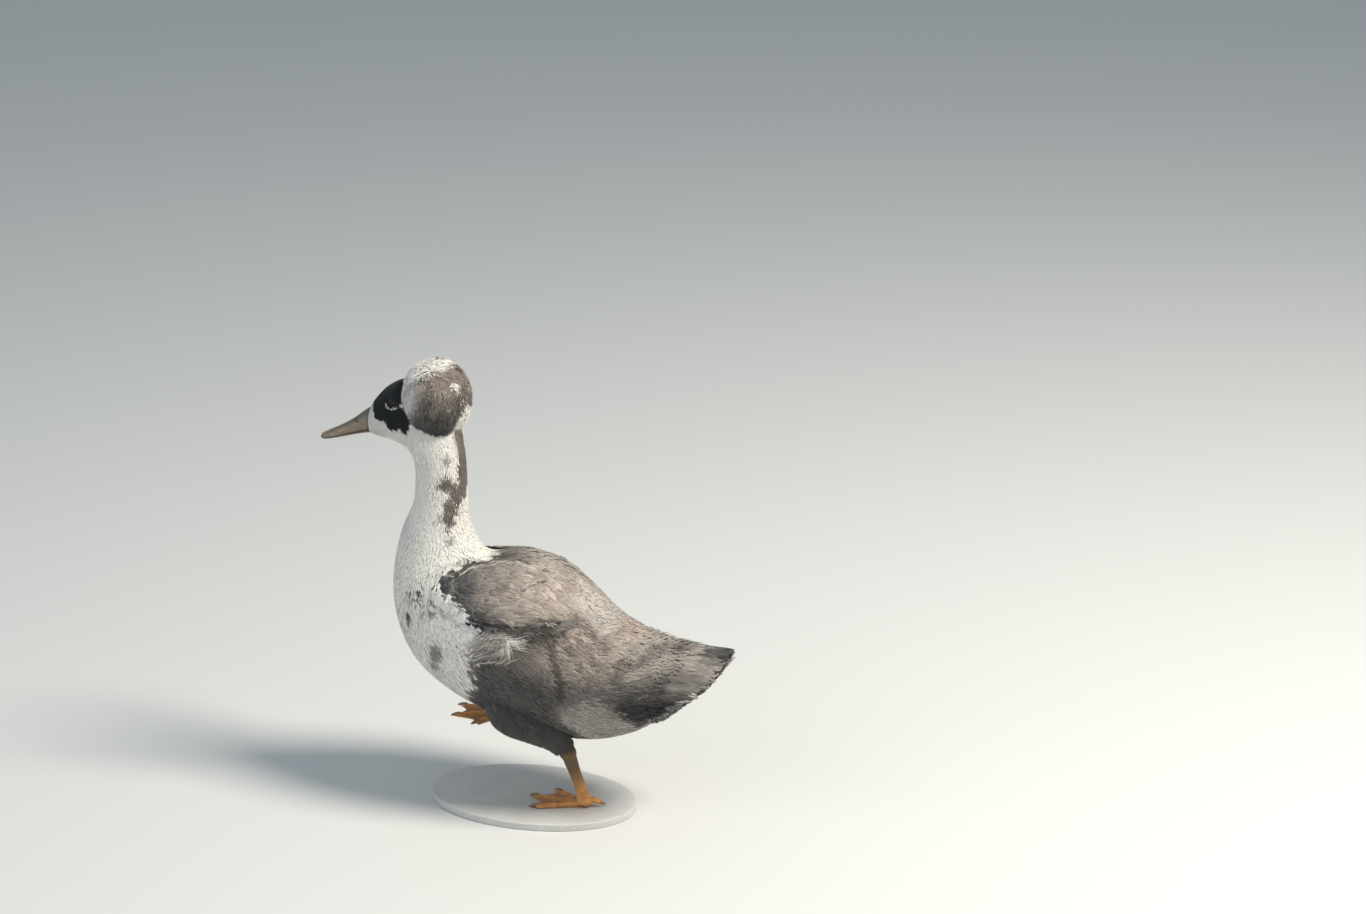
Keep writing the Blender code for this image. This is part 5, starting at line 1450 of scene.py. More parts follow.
def makeWing(side):
    # a plate over the torso, tiers of broad feathers, narrow vanes, barbs and the strokes that stand out
    chart = wingCharts[side]
    a, c = pairs(np.linspace(0, 1, 60), np.linspace(0, 1, 36))
    ends = (a <= 0) | (a >= 1) | (c <= 0) | (c >= 1)
    top = chart["surface"](a, c, np.where(ends, -0.0016, -0.0002))
    under = chart["surface"](a, c, -0.003)
    points, quads = closedPlate(top, under)
    x0, y0, wide, tall = chart["island"]
    spot = np.stack([x0 + wide * a, y0 + tall * c], -1).reshape(-1, 2)
    core = (points, quads, meshNormals(points, quads), np.concatenate([spot, spot]))
    layers = []
    for row, (start, count, length, width) in enumerate(wingTiers["rows"]):
        c = (np.arange(count) + 0.5 + 0.22 * (row % 2 * 2 - 1)) / count * 0.9 + 0.03 + draw.normal(0, 0.01,
                count)
        a = start + draw.uniform(-0.016, 0.016, count)
        vary = draw.uniform(0.86, 1.1, count)
        shape = leafTemplate([0, 0.18, 0.38, 0.58, 0.76, 0.88, 0.95, 1.0],
                             [0.45, 0.8, 0.98, 1.0, 0.88, 0.64, 0.4, 0.1], 7, 0.16, row)
        high = wingTiers["lift"] + draw.uniform(0, 0.0009, count)
        layers.append(layVanes(chart, a, c, shape, length / 1000 * vary,
                               width / 1000 * draw.uniform(0.95, 1.25, count),
                               draw.normal(0, 0.12, count), wingTiers["sink"], high, rise=1.0, camber=0.0008,
                               thick=0.0003, twist=draw.normal(0.0003 * -side, 0.0003, count)))
    # long narrow vanes that break up the tiers
    u, v, p = scatter(chart, 30000, lambda p, u, v: np.interp(u, [0, 0.3, 1], [0.0026, 0.0034, 0.004]))
    kept = (u < 0.95) & (v < 0.95)
    u, v, p = u[kept], v[kept], p[kept]
    count = len(u)
    reach = np.interp(u, [0, 0.3, 0.8, 0.95], [0.009, 0.016, 0.022, 0.008]) * draw.uniform(0.7, 1.25, count)
    blade = strandTemplate([0, 0.25, 0.5, 0.75, 0.92, 1.0], [0.5, 0.85, 1.0, 0.85, 0.5, 0.1])
    layers.append(layVanes(chart, u, v, blade, reach, reach * 0.24,
                           0.22 * ripple(p, 0.03, 51) + draw.normal(0, 0.09, count),
                           0.0, 0.0017 * draw.uniform(0.5, 1.2, count), 0.8, 0.0004, 0.0002))
    # loose barbs over the feathers, so that their edges look soft
    u, v, p = scatter(chart, 60000, lambda p, u, v: 0 * u + wingTiers["strands"])
    kept = (u < 0.96) & (v < 0.96)
    u, v = u[kept], v[kept]
    count = len(u)
    strand = strandTemplate([0, 0.5, 1.0], [0.7, 1.0, 0.1])
    layers.append(layVanes(chart, u, v, strand, 0.012 * draw.uniform(0.6, 1.4, count),
                           0.0008 * draw.uniform(0.5, 1.5, count),
                           draw.normal(0, 0.14, count), -0.0002,
                           0.0016 * draw.uniform(0.6, 1.2, count), 0.9, 0.0001, 0.0001))
    grid = [a.ravel() for a in pairs(np.linspace(0, 1, 160), np.linspace(0, 1, 80))]
    spots = chart["surface"](*grid)
    # the far wing has no painted shade line over its rim
    for line, count, length, width, spread, tone in wingTiers["strokes"][0 if side < 0 else 1:]:
        place = draw.uniform(0, len(line) - 1.06, count)
        at, ahead = throughRows(line, place), throughRows(line, place + 0.05) - throughRows(line, place)
        at = at + draw.normal(0, spread / 1000, at.shape)
        nearest = np.hypot(spots[:, 0] - at[:, :1], spots[:, 2] - at[:, 1:]).argmin(1)
        a, c = grid[0][nearest], grid[1][nearest]
        lie = chartSlopes(chart, a, c)[0]
        lean = (np.arctan2(ahead[:, 1], ahead[:, 0]) - np.arctan2(lie[:, 2], lie[:, 0])
                + draw.normal(0, 0.11, count))
        layer = layVanes(chart, a, c, strand, length / 1000 * draw.uniform(0.7, 1.3, count),
                         width / 1000 * draw.uniform(0.5, 1.5, count), -side * lean, 0.0004,
                         0.0029 * draw.uniform(0.8, 1.2, count), 0.4, 0.0002, 0.0002)
        # the far wing's strokes keep 0.3 of their black: weaker painted shade
        layer["tone"] = np.tile(tone, (count, 1)) * [1, 1 if side < 0 else 0.3, 1, 1]
        layers.append(layer)
    return coatPiece("wingCoat" + sideOf(side), layers, wingMaterial, wingMarks, core, stray=0.0018)


wings = {side: makeWing(side) for side in (-1, 1)}

# Tail: a core that runs on from the body, long feathers in a fan, and soft coverts over it

def makeTail():
    # a core, a fan of long feathers, side feathers and fluff, each laid over the one before
    share, turn = pairs(np.linspace(-0.15, 0.84, 40), roundTurn(64))
    rings = tailSurface(share, turn, -0.0016)
    core = tubePiece("tailCore", rings, tailMaterial)
    plainTone(core, tailMarks)
    # the long feathers of the fan, in two steps
    across = np.linspace(-0.94, 0.94, tailShape["quills"])
    order = np.abs(across)
    x, z, half = tailShape["root"]
    root = np.stack([x + 0 * across, half * across, z - 0.6 * tailShape["drop"] * order**1.3], -1)
    reach = np.linalg.norm(tailTip(across) - root, axis=-1)
    along = np.linspace(0, 1, 16) ** 0.8
    outline = np.interp(along, [0, 0.3, 0.65, 0.85, 0.95, 1], [0.5, 0.8, 1.0, 0.72, 0.36, 0.05])
    shape = leafTemplate(along, outline, 9, 0.02, 77)
    layers, rank = [], np.arange(len(across))
    for step, high in ((0, 0.0018), (1, 0.0006)):
        chosen = rank[rank % 2 == step]
        layers.append(layVanes(fanChart, np.zeros(len(chosen)), across[chosen], shape,
                               reach[chosen] * draw.uniform(0.95, 1.0, len(chosen)),
                               tailShape["quillWidth"] * 0.85,
                               draw.normal(0, 0.02, len(chosen)), 0.0, 0.0, 1.0, 0.0014, 0.0003,
                               base=high - 0.003 * order[chosen]))
    # feathers over the sides, turned up towards the tail's point, each ending short of the rear edge
    u, v, p = scatter(tailChart, 30000, lambda p, u, v: 0 * u + 0.0068)
    u, v, p = u[u < 0.72], v[u < 0.72], p[u < 0.72]
    count = len(u)
    rest = np.linalg.norm(tailSurface(np.ones(count), v) - p, axis=-1)
    long = np.minimum(0.036 * draw.uniform(0.8, 1.25, count), 0.96 * rest)
    blade = leafTemplate([0, 0.2, 0.45, 0.7, 0.87, 0.96, 1.0],
                         [0.4, 0.8, 1.0, 0.85, 0.5, 0.25, 0.05], 5, 0.05, 7)
    layers.append(layVanes(tailChart, u, v, blade, long, 0.0062 * np.clip(long / 0.03, 0.6, 1.1),
                           -0.32 * np.sin(v) * soft(rest - 0.02, 0.02) + draw.normal(0, 0.07, count),
                           0.0012, 0.0012 * draw.uniform(0.3, 1.1, count), 0.9, 0.0007, 0.0003))
    # fluffy coverts on the body before the tail, over its root and below it
    u, v, p = scatter(tailChart, 90000, lambda p, u, v: 0 * u + 0.0025)
    limit = np.interp(np.cos(v), [-1, -0.3, 0.1, 0.5, 1], [0.6, 0.42, 0.1, 0.26, 0.32])
    kept = u < limit + draw.normal(0, 0.05, len(u))
    u, v = u[kept], v[kept]
    count = len(u)
    low = soft(-np.cos(v) - 0.3, 0.4)
    layers.append(layVanes(tailChart, u, v, softVane, 0.015 * draw.uniform(0.6, 1.3, count) * (1 - 0.3 * u),
                           0.0018, draw.normal(0, 0.3, count) - 0.25 * np.sin(v), 0.001,
                           (0.0026 + 0.003 * low + 0.0018 * soft(np.cos(v) - 0.4, 0.3))
                           * draw.uniform(0.2, 1.0, count), 0.8, 0.0002, 0.0002))
    s, t, p = scatter(bodyChart, 300000, lambda p, s, t: 0 * s + 0.0029,
                      lambda p, s, t: (s < 5) & (p[:, 0] > 0.09) & (p[:, 0] < 0.145))
    kept = p[:, 0] > tailBorder(p[:, 2]) + draw.normal(0, 0.004, len(s))
    s, t, p = s[kept], t[kept], p[kept]
    count = len(s)
    layers.append(layVanes(bodyChart, s, t, softVane, 0.014 * draw.uniform(0.6, 1.3, count),
                           0.0024 * draw.uniform(0.6, 1.4, count),
                           0.5 * ripple(p, 0.022, 91) + draw.normal(0, 0.25, count), 0.001,
                           (0.0022 + 0.0012 * ripple(p, 0.013, 92)) * draw.uniform(0.3, 1.0, count)
                           + 0.0036 * soft(p[:, 2] - 0.193, 0.005) * draw.uniform(0, 1, count)**3,
                           0.8, 0.0004, 0.0003))
    return core, coatPiece("tailCoat", layers, tailMaterial, tailMarks, stray=0.0014)


tailCore, tailCoat = makeTail()

# Crest: a ball of feathers that part from the crown

def makeCrest():
    # a core and two sizes of vanes that run down from the crown
    polar, azimuth = pairs(np.linspace(0.02, math.pi - 0.02, 60), roundTurn(96))
    core = tubePiece("crestCore", crestSurface(polar, azimuth, -0.005), crestMaterial)
    plainTone(core, crestMarks)
    strand = strandTemplate([0, 0.4, 0.75, 1.0], [0.8, 1.0, 0.7, 0.0])
    layers = []
    # the ball's sides by one chart, and the crown by one that is even there
    for chart, keep in ((crestChart, lambda p, u, v: u > 0.52),
                        (crownChart, lambda p, u, v: fromCrown(p) < 0.62)):
        u, v, p = scatter(chart, 120000, lambda p, u, v: 0 * u + 0.0034, keep)
        n = len(u)
        layers.append(layVanes(chart, u, v, softVane, 0.015 * draw.uniform(0.8, 1.15, n), 0.006,
                               draw.normal(0, 0.3, n),
                               0.0065, -0.0012 + 0.0012 * ripple(p, 0.014, 42), 0.6, 0.0006, 0.0003))
        u, v, p = scatter(chart, 200000, lambda p, u, v: 0 * u + 0.0018, keep)
        n = len(u)
        high = 0.001 * draw.uniform(-0.6, 1.0, n) - 0.0004 + 0.0013 * ripple(p, 0.014, 42)
        layers.append(layVanes(chart, u, v, strand, 0.011 * draw.uniform(0.7, 1.3, n), 0.0012,
                               0.7 * ripple(p, 0.013, 41) + draw.normal(0, 0.45,
                                       n), 0.004, high, 0.6, 0.0002, 0.0002,
                               bend=draw.normal(0, 0.15, n)))
    return core, coatPiece("crestCoat", layers, crestMaterial, crestMarks, stray=0.001)


crestCore, crestCoat = makeCrest()

# Bill: two halves that meet on the line of the mouth

billShape = {
    # x, height of the mouth line, height over it, half width
    "rows": np.array([(-0.1905, 0.3985, 0.0235, 0.0115), (-0.199, 0.3965, 0.0195, 0.011),
                      (-0.21, 0.3935, 0.0142, 0.0112),
                      (-0.222, 0.39, 0.0103, 0.0122), (-0.234, 0.3868, 0.0072, 0.0127),
                      (-0.243, 0.3848, 0.005, 0.0108),
                      (-0.2475, 0.3842, 0.003, 0.006)]),
    "drop": 0.0042, "inset": 0.0012, "gap": 0.0003, "nostril": (-0.2045, 0.4065), "dent": 0.0011,
}


def billSurface(place, arc, below):
    # half: cos across; over the mouth line sin ** 0.75, or under it sin ** 0.8 by the drop
    row = throughRows(billShape["rows"], place * 6)
    x, edge, height, half = (row[..., k] for k in range(4))
    if below:
        drop = billShape["drop"] * (1 - 0.55 * place)
        high = edge - billShape["gap"] - np.sin(arc) ** 0.8 * drop
        half = half - billShape["inset"]
    else:
        high = edge + np.sin(arc) ** 0.75 * height
    across = np.cos(arc) * half
    nx, nz = billShape["nostril"]
    pit = np.exp(-((x - nx) / 0.0034) ** 2
                 - ((high - nz + 0.25 * (x - nx)) / 0.0013) ** 2) * (0.0 if below else 1.0)
    nail = np.exp(-((x + 0.2455) / 0.004) ** 2) * np.sin(arc) ** 3 * (0.0 if below else 1.0)
    across = across - np.sign(across) * pit * billShape["dent"]
    return np.stack([x, across, high + 0.0005 * nail], -1), pit


def makeBillHalf(name, below):
    # rings of the half's arc closed by a flat row along the mouth line
    place, arc = pairs(np.linspace(0, 1, 90), np.linspace(0, math.pi, 49))
    arc = np.clip(arc, 1e-4, math.pi - 1e-4)
    rim, pit = billSurface(place, arc, below)
    flat = np.linspace(1, -1, 9)[1:-1]
    row = throughRows(billShape["rows"], place[:, 0] * 6)
    edge = row[:, 1] - (billShape["gap"] if below else 0.0)
    half = row[:, 3] - (billShape["inset"] if below else 0.0)
    floor = np.stack([np.repeat(row[:, :1], 7, 1), -half[:, None] * flat, np.repeat(edge[:, None], 7, 1)],
                     -1)
    rings = np.concatenate([rim, floor], 1)
    piece = tubePiece(name, rings, billMaterial)
    at = pointsOf(piece)
    row = throughRows(billShape["rows"], np.interp(-at[:, 0], -billShape["rows"][:, 0], np.arange(7)))
    ridge = np.zeros(len(at)) if below else soft((at[:, 2] - row[:, 1]) / row[:, 2] - 0.72, 0.25)
    tip = soft(1 - np.hypot((at[:, 0] + 0.247) / 0.009, at[:, 1] / 0.0075) + 0.08 * ripple(at, 0.004, 51),
               0.2)
    nx, nz = billShape["nostril"]
    hole = 0 * tip if below else np.exp(-((at[:, 0] - nx) / 0.0026) ** 2
            - ((at[:, 2] - nz + 0.25 * (at[:, 0] - nx)) / 0.001) ** 2)
    gape = soft(at[:, 0] + 0.212, 0.012)
    mouth = soft(0.0006 + 0.0008 * gape - np.abs(at[:, 2] - row[:, 1]), 0.0004)
    # the third share darkens the nostril and the mouth line: painted shade
    setTint(piece, np.stack([ridge * (1 - tip), tip * 0.85, np.maximum(hole, 0.8 * mouth)], -1))
    return piece


billUpper, billLower = makeBillHalf("billUpper", False), makeBillHalf("billLower", True)

# Eyes: a glossy ball each, with almond lids

eyeShape = {"lidLong": 0.0047, "lidHigh": 0.0038, "lidOut": 0.0058, "lidTube": 0.00085}


def makeEye(side):
    # a ball, and lids as a pleated tube that lies on a ball of radius lidOut
    low, high = (eyeLow, eyeHigh) if side < 0 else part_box("eye_right")
    middle = np.array([(low.x + high.x) / 2, (low.y + high.y) / 2, (low.z + high.z) / 2]) - duckZero
    polar, around = pairs(np.linspace(0.01, math.pi - 0.01, 48), roundTurn(64))
    radius = eyeSpot["radius"] - 0.0001
    way = np.stack([np.sin(polar) * np.cos(around), side * np.cos(polar), np.sin(polar) * np.sin(around)],
                   -1)
    rings = middle + radius * way
    ball = tubePiece("eye" + sideOf(side), rings, eyeMaterial)
    at = pointsOf(ball) - middle
    off = np.arccos(np.clip(side * at[:, 1] / radius, -1, 1)) / math.radians(52)
    setTint(ball, np.stack([np.clip(off, 0, 1), 0 * off, 0 * off], -1))
    ring, turn = pairs(roundTurn(96), roundTurn(16))
    long = eyeShape["lidLong"] * np.cos(ring) * (1 + 0.06 * np.cos(ring))
    tall = eyeShape["lidHigh"] * np.sin(ring) * (1 - 0.1 * np.cos(ring) ** 2)
    out = np.sqrt(np.maximum(eyeShape["lidOut"] ** 2 - long**2 - tall**2, 1e-9))
    path = np.stack([long, side * out, tall], -1)
    tube = eyeShape["lidTube"] * (1 + 0.12 * np.sin(ring * 23))
    outward = unit(np.stack([long, 0 * long, tall], -1))
    points = middle + path + tube[..., None] * (np.cos(turn)[..., None] * outward
                                                + np.sin(turn)[..., None] * np.array([0, side, 0]))
    count, sides = ring.shape
    i, j = pairs(np.arange(count), np.arange(sides))
    a, b = i * sides + j, i * sides + (j + 1) % sides
    c, d = (i + 1) % count * sides + (j + 1) % sides, (i + 1) % count * sides + j
    faces = np.stack([a, b, c, d], -1).reshape(-1, 4)
    points = points.reshape(-1, 3)
    lids = meshPiece("lids" + sideOf(side), points, facingOut(points, [faces]), lidMaterial)
    return ball, lids


eyes = {side: makeEye(side) for side in (-1, 1)}

# Legs: bare shanks with ringed scales, webbed feet and claws

legShape = {
    "hock": {-1: (0.04, -0.038, 0.0715), 1: (-0.006, 0.053, 0.086)},
    "toeBase": {-1: (0.0495, -0.014, 0.009), 1: (-0.056, 0.041, 0.079)},
    "hockRadii": (0.0094, 0.0078, 0.0094), "radius": (0.0084, 0.0066), "flat": 0.74, "scales": 22,
    "toes": [(-27, 0.06), (-2, 0.066), (23, 0.053)], "toeHigh": 0.0068, "toeWide": 0.0042,
    "web": 0.0018, "hollow": 0.011, "margin": 5, "heel": 0.004,
    "claw": 0.0075, "clawRadii": (0.0021, 0.0019, 0.0014, 0.0005),
    "hind": [(0.0, 0.002, 0.0075, 0.0042), (0.008, 0.004, 0.0075, 0.0034), (0.015, 0.006, 0.0055, 0.0024),
             (0.021, 0.008, 0.003, 0.0007)],
    "turn": {-1: (-8, 0, 0), 1: (33, 3, 3)},
}


def makeShank(side):
    # an oval tube from hock to toes, thicker at both, ringed by scales that overlap downwards
    hock, toeBase = np.array(legShape["hock"][side]), np.array(legShape["toeBase"][side])
    share, turn = pairs(np.linspace(-0.02, 1.0, 150), roundTurn(48))
    way = unit(toeBase - hock)
    sideways = unit(np.cross(way, [1.0, 0, 0.01]))
    deep = np.cross(sideways, way)
    top, bottom = legShape["radius"]
    radius = (top + (bottom - top) * np.minimum(1, np.maximum(share, 0) * 2.2)
              + 0.0012 * np.maximum(0, share - 0.8) * 5)
    phase = share * legShape["scales"] + 0.35 * np.cos(2 * turn)
    step = phase - np.floor(phase)
    radius = radius * (1 - 0.01 + 0.035 * step**2 - 0.05 * (step > 0.93))
    rings = (hock + share[..., None] * (toeBase - hock)
             + radius[..., None] * (np.cos(turn)[..., None] * deep
                     + legShape["flat"] * np.sin(turn)[..., None] * sideways))
    piece = tubePiece("shank" + sideOf(side), rings, legMaterial)
    tint = np.zeros((len(piece.data.vertices), 3))
    hockShare = soft(0.5 - share + 0.1 * np.sin(turn), 0.32).reshape(-1)
    tint[:len(hockShare), 0] = hockShare
    # the scale edges get painted crease shade
    tint[:len(hockShare), 1] = ((step > 0.9) | (step < 0.06)).reshape(-1)
    setTint(piece, tint)
    return piece


def makeHock(side):
    # the bare joint that the thigh's feathers leave free
    polar, around = pairs(np.linspace(0.02, math.pi - 0.02, 30), roundTurn(40))
    way = np.stack([np.sin(polar) * np.cos(around), np.sin(polar) * np.sin(around), np.cos(polar)], -1)
    grain = 1 + 0.03 * np.sin(9 * around) * np.sin(polar)
    points = np.array(legShape["hock"][side]) + way * grain[..., None] * np.array(legShape["hockRadii"])
    piece = tubePiece("hock" + sideOf(side), points, legMaterial)
    # hock colour all over, with a 0.3 share of painted crease shade
    setTint(piece, np.tile([1.0, 0.3, 0.0], (len(piece.data.vertices), 1)))
    return piece


def placeFoot(side, points):
    # from the foot's own frame, toes along -X and sole at z 0, to the duck's
    yaw, pitch, roll = np.radians(legShape["turn"][side])
    turnZ = np.array([(math.cos(yaw), -math.sin(yaw), 0), (math.sin(yaw), math.cos(yaw), 0), (0, 0, 1)])
    turnY = np.array([(math.cos(pitch), 0, math.sin(pitch)), (0, 1, 0),
                      (-math.sin(pitch), 0, math.cos(pitch))])
    turnX = np.array([(1, 0, 0), (0, math.cos(roll), -math.sin(roll)), (0, math.sin(roll), math.cos(roll))])
    x, y, z = legShape["toeBase"][side]
    return points @ (turnZ @ turnY @ turnX).T + np.array([x, y, 0 if side < 0 else z - 0.008])


def footHeight(radius, angle):
    # over the sole: the web, or a ridge along each toe, round across and knobbed at its joints
    high = np.full(radius.shape, legShape["web"])
    high = high + 0.00018 * np.sin(angle * 2.1) * np.clip(radius / 0.03, 0, 1)
    for toe, length in legShape["toes"]:
        off = radius * np.radians(angle - toe)
        knob = 1 + 0.1 * np.cos(radius / length * tau * 3.0)
        ridge = legShape["toeHigh"] * (1 - 0.45 * radius / length) * knob
        wide = legShape["toeWide"] * (0.85 + 0.15 * knob) * (1 - 0.25 * radius / length)
        high = np.maximum(high, legShape["web"] + (ridge - legShape["web"]) * np.exp(-((off / wide) ** 2)))
    return high


def webEdge(angle):
    # how far the foot reaches in a direction: toe tips, and a hollow edge of sine shape between
    (outer, first), (middle, second), (inner, third) = legShape["toes"]
    left = (angle - outer) / (middle - outer)
    right = (angle - middle) / (inner - middle)
    share = np.where(angle < middle, left, right)
    straight = np.where(angle < middle, first + (second - first) * left, second + (third - second) * right)
    return straight - legShape["hollow"] * np.sin(math.pi * share)


def makeFoot(side):
    # a fan of angle and reach, its top at footHeight and its sole flat
    outer, inner = legShape["toes"][0][0], legShape["toes"][2][0]
    margin = legShape["margin"]
    angle, share = pairs(np.linspace(outer - margin, inner + margin, 150), np.linspace(0, 1, 90))
    beside = (angle < outer) | (angle > inner)
    reach = webEdge(np.clip(angle, outer, inner)) * np.where(beside, 0.93, 1.0)
    heel = legShape["heel"]
    radius = heel + (reach - heel) * share
    turn = np.radians(angle)
    rim = (share >= 1) | (angle <= angle[0, 0]) | (angle >= angle[-1, 0])
    high = footHeight(radius, angle) * np.where(rim, 0.55, 1.0)
    x, y = heel - radius * np.cos(turn), -side * radius * np.sin(turn)
    top, sole = np.stack([x, y, high], -1), np.stack([x, y, 0 * high], -1)
    points, quads = closedPlate(top, sole)
    piece = meshPiece("foot" + sideOf(side), placeFoot(side, points), [quads], legMaterial)
    onToe = np.max([np.exp(-((radius * np.radians(angle - toe) / 0.0034) ** 2)) for toe,
                    _ in legShape["toes"]], 0)
    rungs = np.sin(radius / 0.0017 * math.pi) ** 2
    # painted crease shade in the rungs between the toes' scales, and up to half as much over the web
    creaseShade = np.where(onToe > 0.3, (rungs < 0.16) * 1.0, 0.5 * (1 - onToe)).reshape(-1)
    # the web browner, more so on the right foot: that extra is painted shade
    web = (1 - onToe).reshape(-1) * (0.55 if side > 0 else 0.25)
    tint = np.stack([np.concatenate([web, web]), np.concatenate([creaseShade, creaseShade]),
                     np.zeros(2 * creaseShade.size)], -1)
    setTint(piece, tint)
    return piece


def levelTube(path, radii, sides=20):
    # rings of a round tube along a nearly level path
    path = np.asarray(path, float)
    tangent = unit(np.gradient(path, axis=0))
    sideways = unit(np.cross([0, 0, 1.0], tangent))
    up = np.cross(tangent, sideways)
    turn = roundTurn(sides)
    ring = np.cos(turn)[None, :, None] * sideways[:, None, :] + np.sin(turn)[None, :, None] * up[:, None, :]
    return path[:, None, :] + np.asarray(radii)[:, None, None] * ring


def makeClaws(side):
    # each claw runs on from its toe's end and curves down; the knuckle and hind toe are skin
    pieces = []
    for number, (toe, length) in enumerate(legShape["toes"]):
        turn = math.radians(toe)
        way = np.array([-math.cos(turn), -side * math.sin(turn), 0])
        share = np.linspace(-0.35, 1.0, 16)
        start = np.array([legShape["heel"], 0, 0]) + way * (length - legShape["heel"])
        high = np.interp(share, [-0.35, 0.3, 1.0], [0.003, 0.0026, 0.001])
        path = start + way * (legShape["claw"] * share)[:, None] + np.array([0, 0, 1.0]) * high[:, None]
        radii = np.interp(share, [-0.35, 0.2, 0.7, 1.0], legShape["clawRadii"])
        rings = placeFoot(side, levelTube(path, radii))
        piece = tubePiece(f"claw{number}{sideOf(side)}", rings, legMaterial)
        setTint(piece, np.tile([0.0, 0.0, 1.0], (len(piece.data.vertices), 1)))
        pieces.append(piece)
    hind = np.array([(x, side * y * -1, z, radius) for x, y, z, radius in legShape["hind"]])
    rows = throughRows(hind, np.linspace(0, 3, 24))
    rings = placeFoot(side, levelTube(rows[:, :3], rows[:, 3]))
    toe = tubePiece("hindToe" + sideOf(side), rings, legMaterial)
    tint = np.zeros((len(toe.data.vertices), 3))
    tint[:len(rows) * 20, 2] = np.repeat(soft(np.linspace(0, 1, len(rows)) - 0.72, 0.08), 20)
    setTint(toe, tint)
    polar, around = pairs(np.linspace(0.02, math.pi - 0.02, 30), roundTurn(40))
    ballPoints = np.stack([np.sin(polar) * np.cos(around), np.sin(polar) * np.sin(around), np.cos(polar)],
                          -1)
    knuckle = placeFoot(side, ballPoints * [0.0092, 0.0078, 0.0062] + [0.001, 0, 0.0068])
    knob = tubePiece("knuckle" + sideOf(side), knuckle, legMaterial)
    setTint(knob, np.zeros((len(knob.data.vertices), 3)))
    return pieces, [toe, knob, makeHock(side)]


legs = {side: (makeShank(side), makeFoot(side), *makeClaws(side)) for side in (-1, 1)}

# Base: an oval plate with a rounded edge

baseShape = {"size": (0.23, 0.15), "thick": 0.008, "top": -0.0003, "middle": (-0.014, 0.0), "round": 0.0012}


def makeBase():
    # rings from the middle of the underside round the edge to the middle of the top
    long, wide = baseShape["size"][0] / 2, baseShape["size"][1] / 2
    soften, top = baseShape["round"], baseShape["top"]
    low = top - baseShape["thick"]
    arc = np.linspace(0, math.pi / 2, 7)
    inset = [0.9, 0.6, 0.3, 0.08, *(soften * (1 - np.sin(arc))), *(soften * (1 - np.cos(arc))), 0.08, 0.3,
             0.6, 0.9]
    high = [low] * 4 + [*(low + soften * (1 - np.cos(arc)))] + [*(top
            - soften * (1 - np.sin(arc)))] + [top] * 4
    share = np.array([0.9, 0.6, 0.3, 0.08] + [0] * 14 + [0.08, 0.3, 0.6, 0.9])
    edgeRound = np.where(share > 0, 0, np.array(inset))
    turn = roundTurn(160)
    x = baseShape["middle"][0] + ((long - edgeRound) * (1 - share))[:, None] * np.cos(turn)
    y = ((wide - edgeRound) * (1 - share))[:, None] * np.sin(turn)
    z = np.repeat(np.array(high)[:, None], len(turn), 1)
    return tubePiece("standBase", np.stack([x, y, z], -1), baseMaterial)


base = makeBase()
print("parts ready")

# Camera, floor and light

view = {"spot": (1.0356, -2.707, 1.325), "turn": (72, 0, 18), "lens": 77.0}
camera = bpy.data.cameras.new("camera")
cameraPiece = bpy.data.objects.new("camera", camera)
bpy.context.scene.collection.objects.link(cameraPiece)
cameraPiece.location = np.array(view["spot"]) + duckZero
cameraPiece.rotation_euler = [math.radians(a) for a in view["turn"]]
camera.lens = view["lens"]
camera.sensor_width = 36.0
bpy.context.scene.camera = cameraPiece

stage = {"radius": 14.0, "keyEnergy": 141.0, "fillEnergy": 26.0, "sky": 0.42}


def floorLook(tree, shader):
    # plain pale ground
    shader.inputs["Base Color"].default_value = (0.63, 0.63, 0.615, 1)


def makeFloor():
    # one flat disc at z 0
    turn = roundTurn(96)
    points = np.concatenate([[[0, 0, 0]],
                             np.stack([np.cos(turn), np.sin(turn), 0 * turn], -1) * stage["radius"]])
    points = points - duckZero
    j = np.arange(96)
    faces = np.stack([0 * j, 1 + j, 1 + (j + 1) % 96], -1)
    return meshPiece("floor", points, [faces], makeMaterial("floorPaint", 0.9, floorLook), smooth=False)


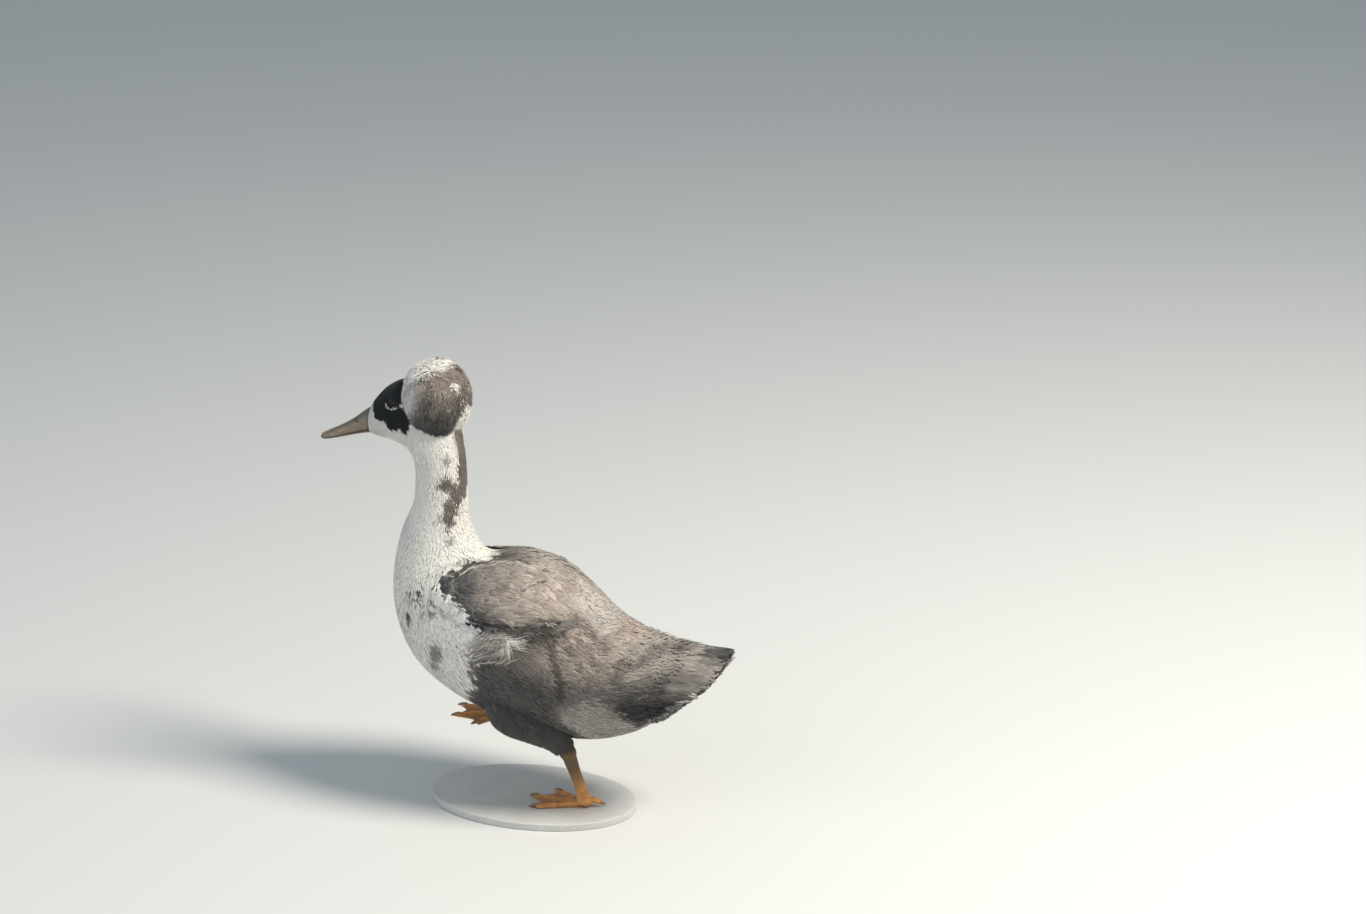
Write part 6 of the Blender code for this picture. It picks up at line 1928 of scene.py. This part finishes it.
def addLamp(name, towards, far, size, energy, colour):
    # an area lamp that looks at the duck's middle from a direction
    lamp = bpy.data.lights.new(name, "AREA")
    lamp.shape = "DISK"
    lamp.size = size
    lamp.energy = energy
    lamp.color = colour
    piece = bpy.data.objects.new(name, lamp)
    bpy.context.scene.collection.objects.link(piece)
    middle = np.array([0, 0, 0.25])
    way = unit(np.array(towards, float))
    piece.location = middle + way * far
    piece.rotation_euler = Vector(-way).to_track_quat("-Z", "Y").to_euler()
    return piece


def fromCamera(right, forward, up):
    # a direction given by the camera's heading
    turn = math.radians(view["turn"][2])
    return (right * math.cos(turn) - forward * math.sin(turn),
            right * math.sin(turn) + forward * math.cos(turn), up)


floor = makeFloor()
addLamp("key", fromCamera(0.66, -0.27, 0.86), 3.2, 1.1, stage["keyEnergy"], (1.0, 0.94, 0.84))
addLamp("fill", fromCamera(-0.85, -0.6, 0.55), 3.4, 2.6, stage["fillEnergy"], (0.86, 0.93, 1.0))
world = bpy.data.worlds.new("studio")
world.use_nodes = True
world.node_tree.nodes["Background"].inputs["Color"].default_value = (0.78, 0.9, 1.0, 1)
world.node_tree.nodes["Background"].inputs["Strength"].default_value = stage["sky"]
bpy.context.scene.world = world
bpy.context.scene.view_settings.view_transform = "Standard"
bpy.context.scene.view_settings.look = "None"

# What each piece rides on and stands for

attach(skin, "root")
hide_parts("torso", "neck", "head", "thigh_left", "thigh_right")
for piece in coat:
    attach(piece, "root")
for side, word in ((-1, "left"), (1, "right")):
    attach(wings[side], "root")
    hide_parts("wing_" + word)
    ball, lids = eyes[side]
    shank, foot, claws, toes = legs[side]
    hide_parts("eye_" + word)
    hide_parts("shank_" + word)
    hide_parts("foot_" + word)
    for piece in (ball, lids):
        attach(piece, "root")
    for piece in (shank, foot, *claws, *toes):
        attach(piece, "root")
for piece, slot in ((tailCore, "gray_brown_feather"), (tailCoat, "gray_brown_feather"),
                    (crestCore, "crest_feather"),
                    (crestCoat, "crest_feather"), (billUpper, "bill_horn"), (billLower, "bill_horn"),
                    (base, "base_paint")):
    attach(piece, "root")
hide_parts("tail")
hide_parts("crest")
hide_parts("bill_upper")
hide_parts("bill_lower")
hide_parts("stand_base")
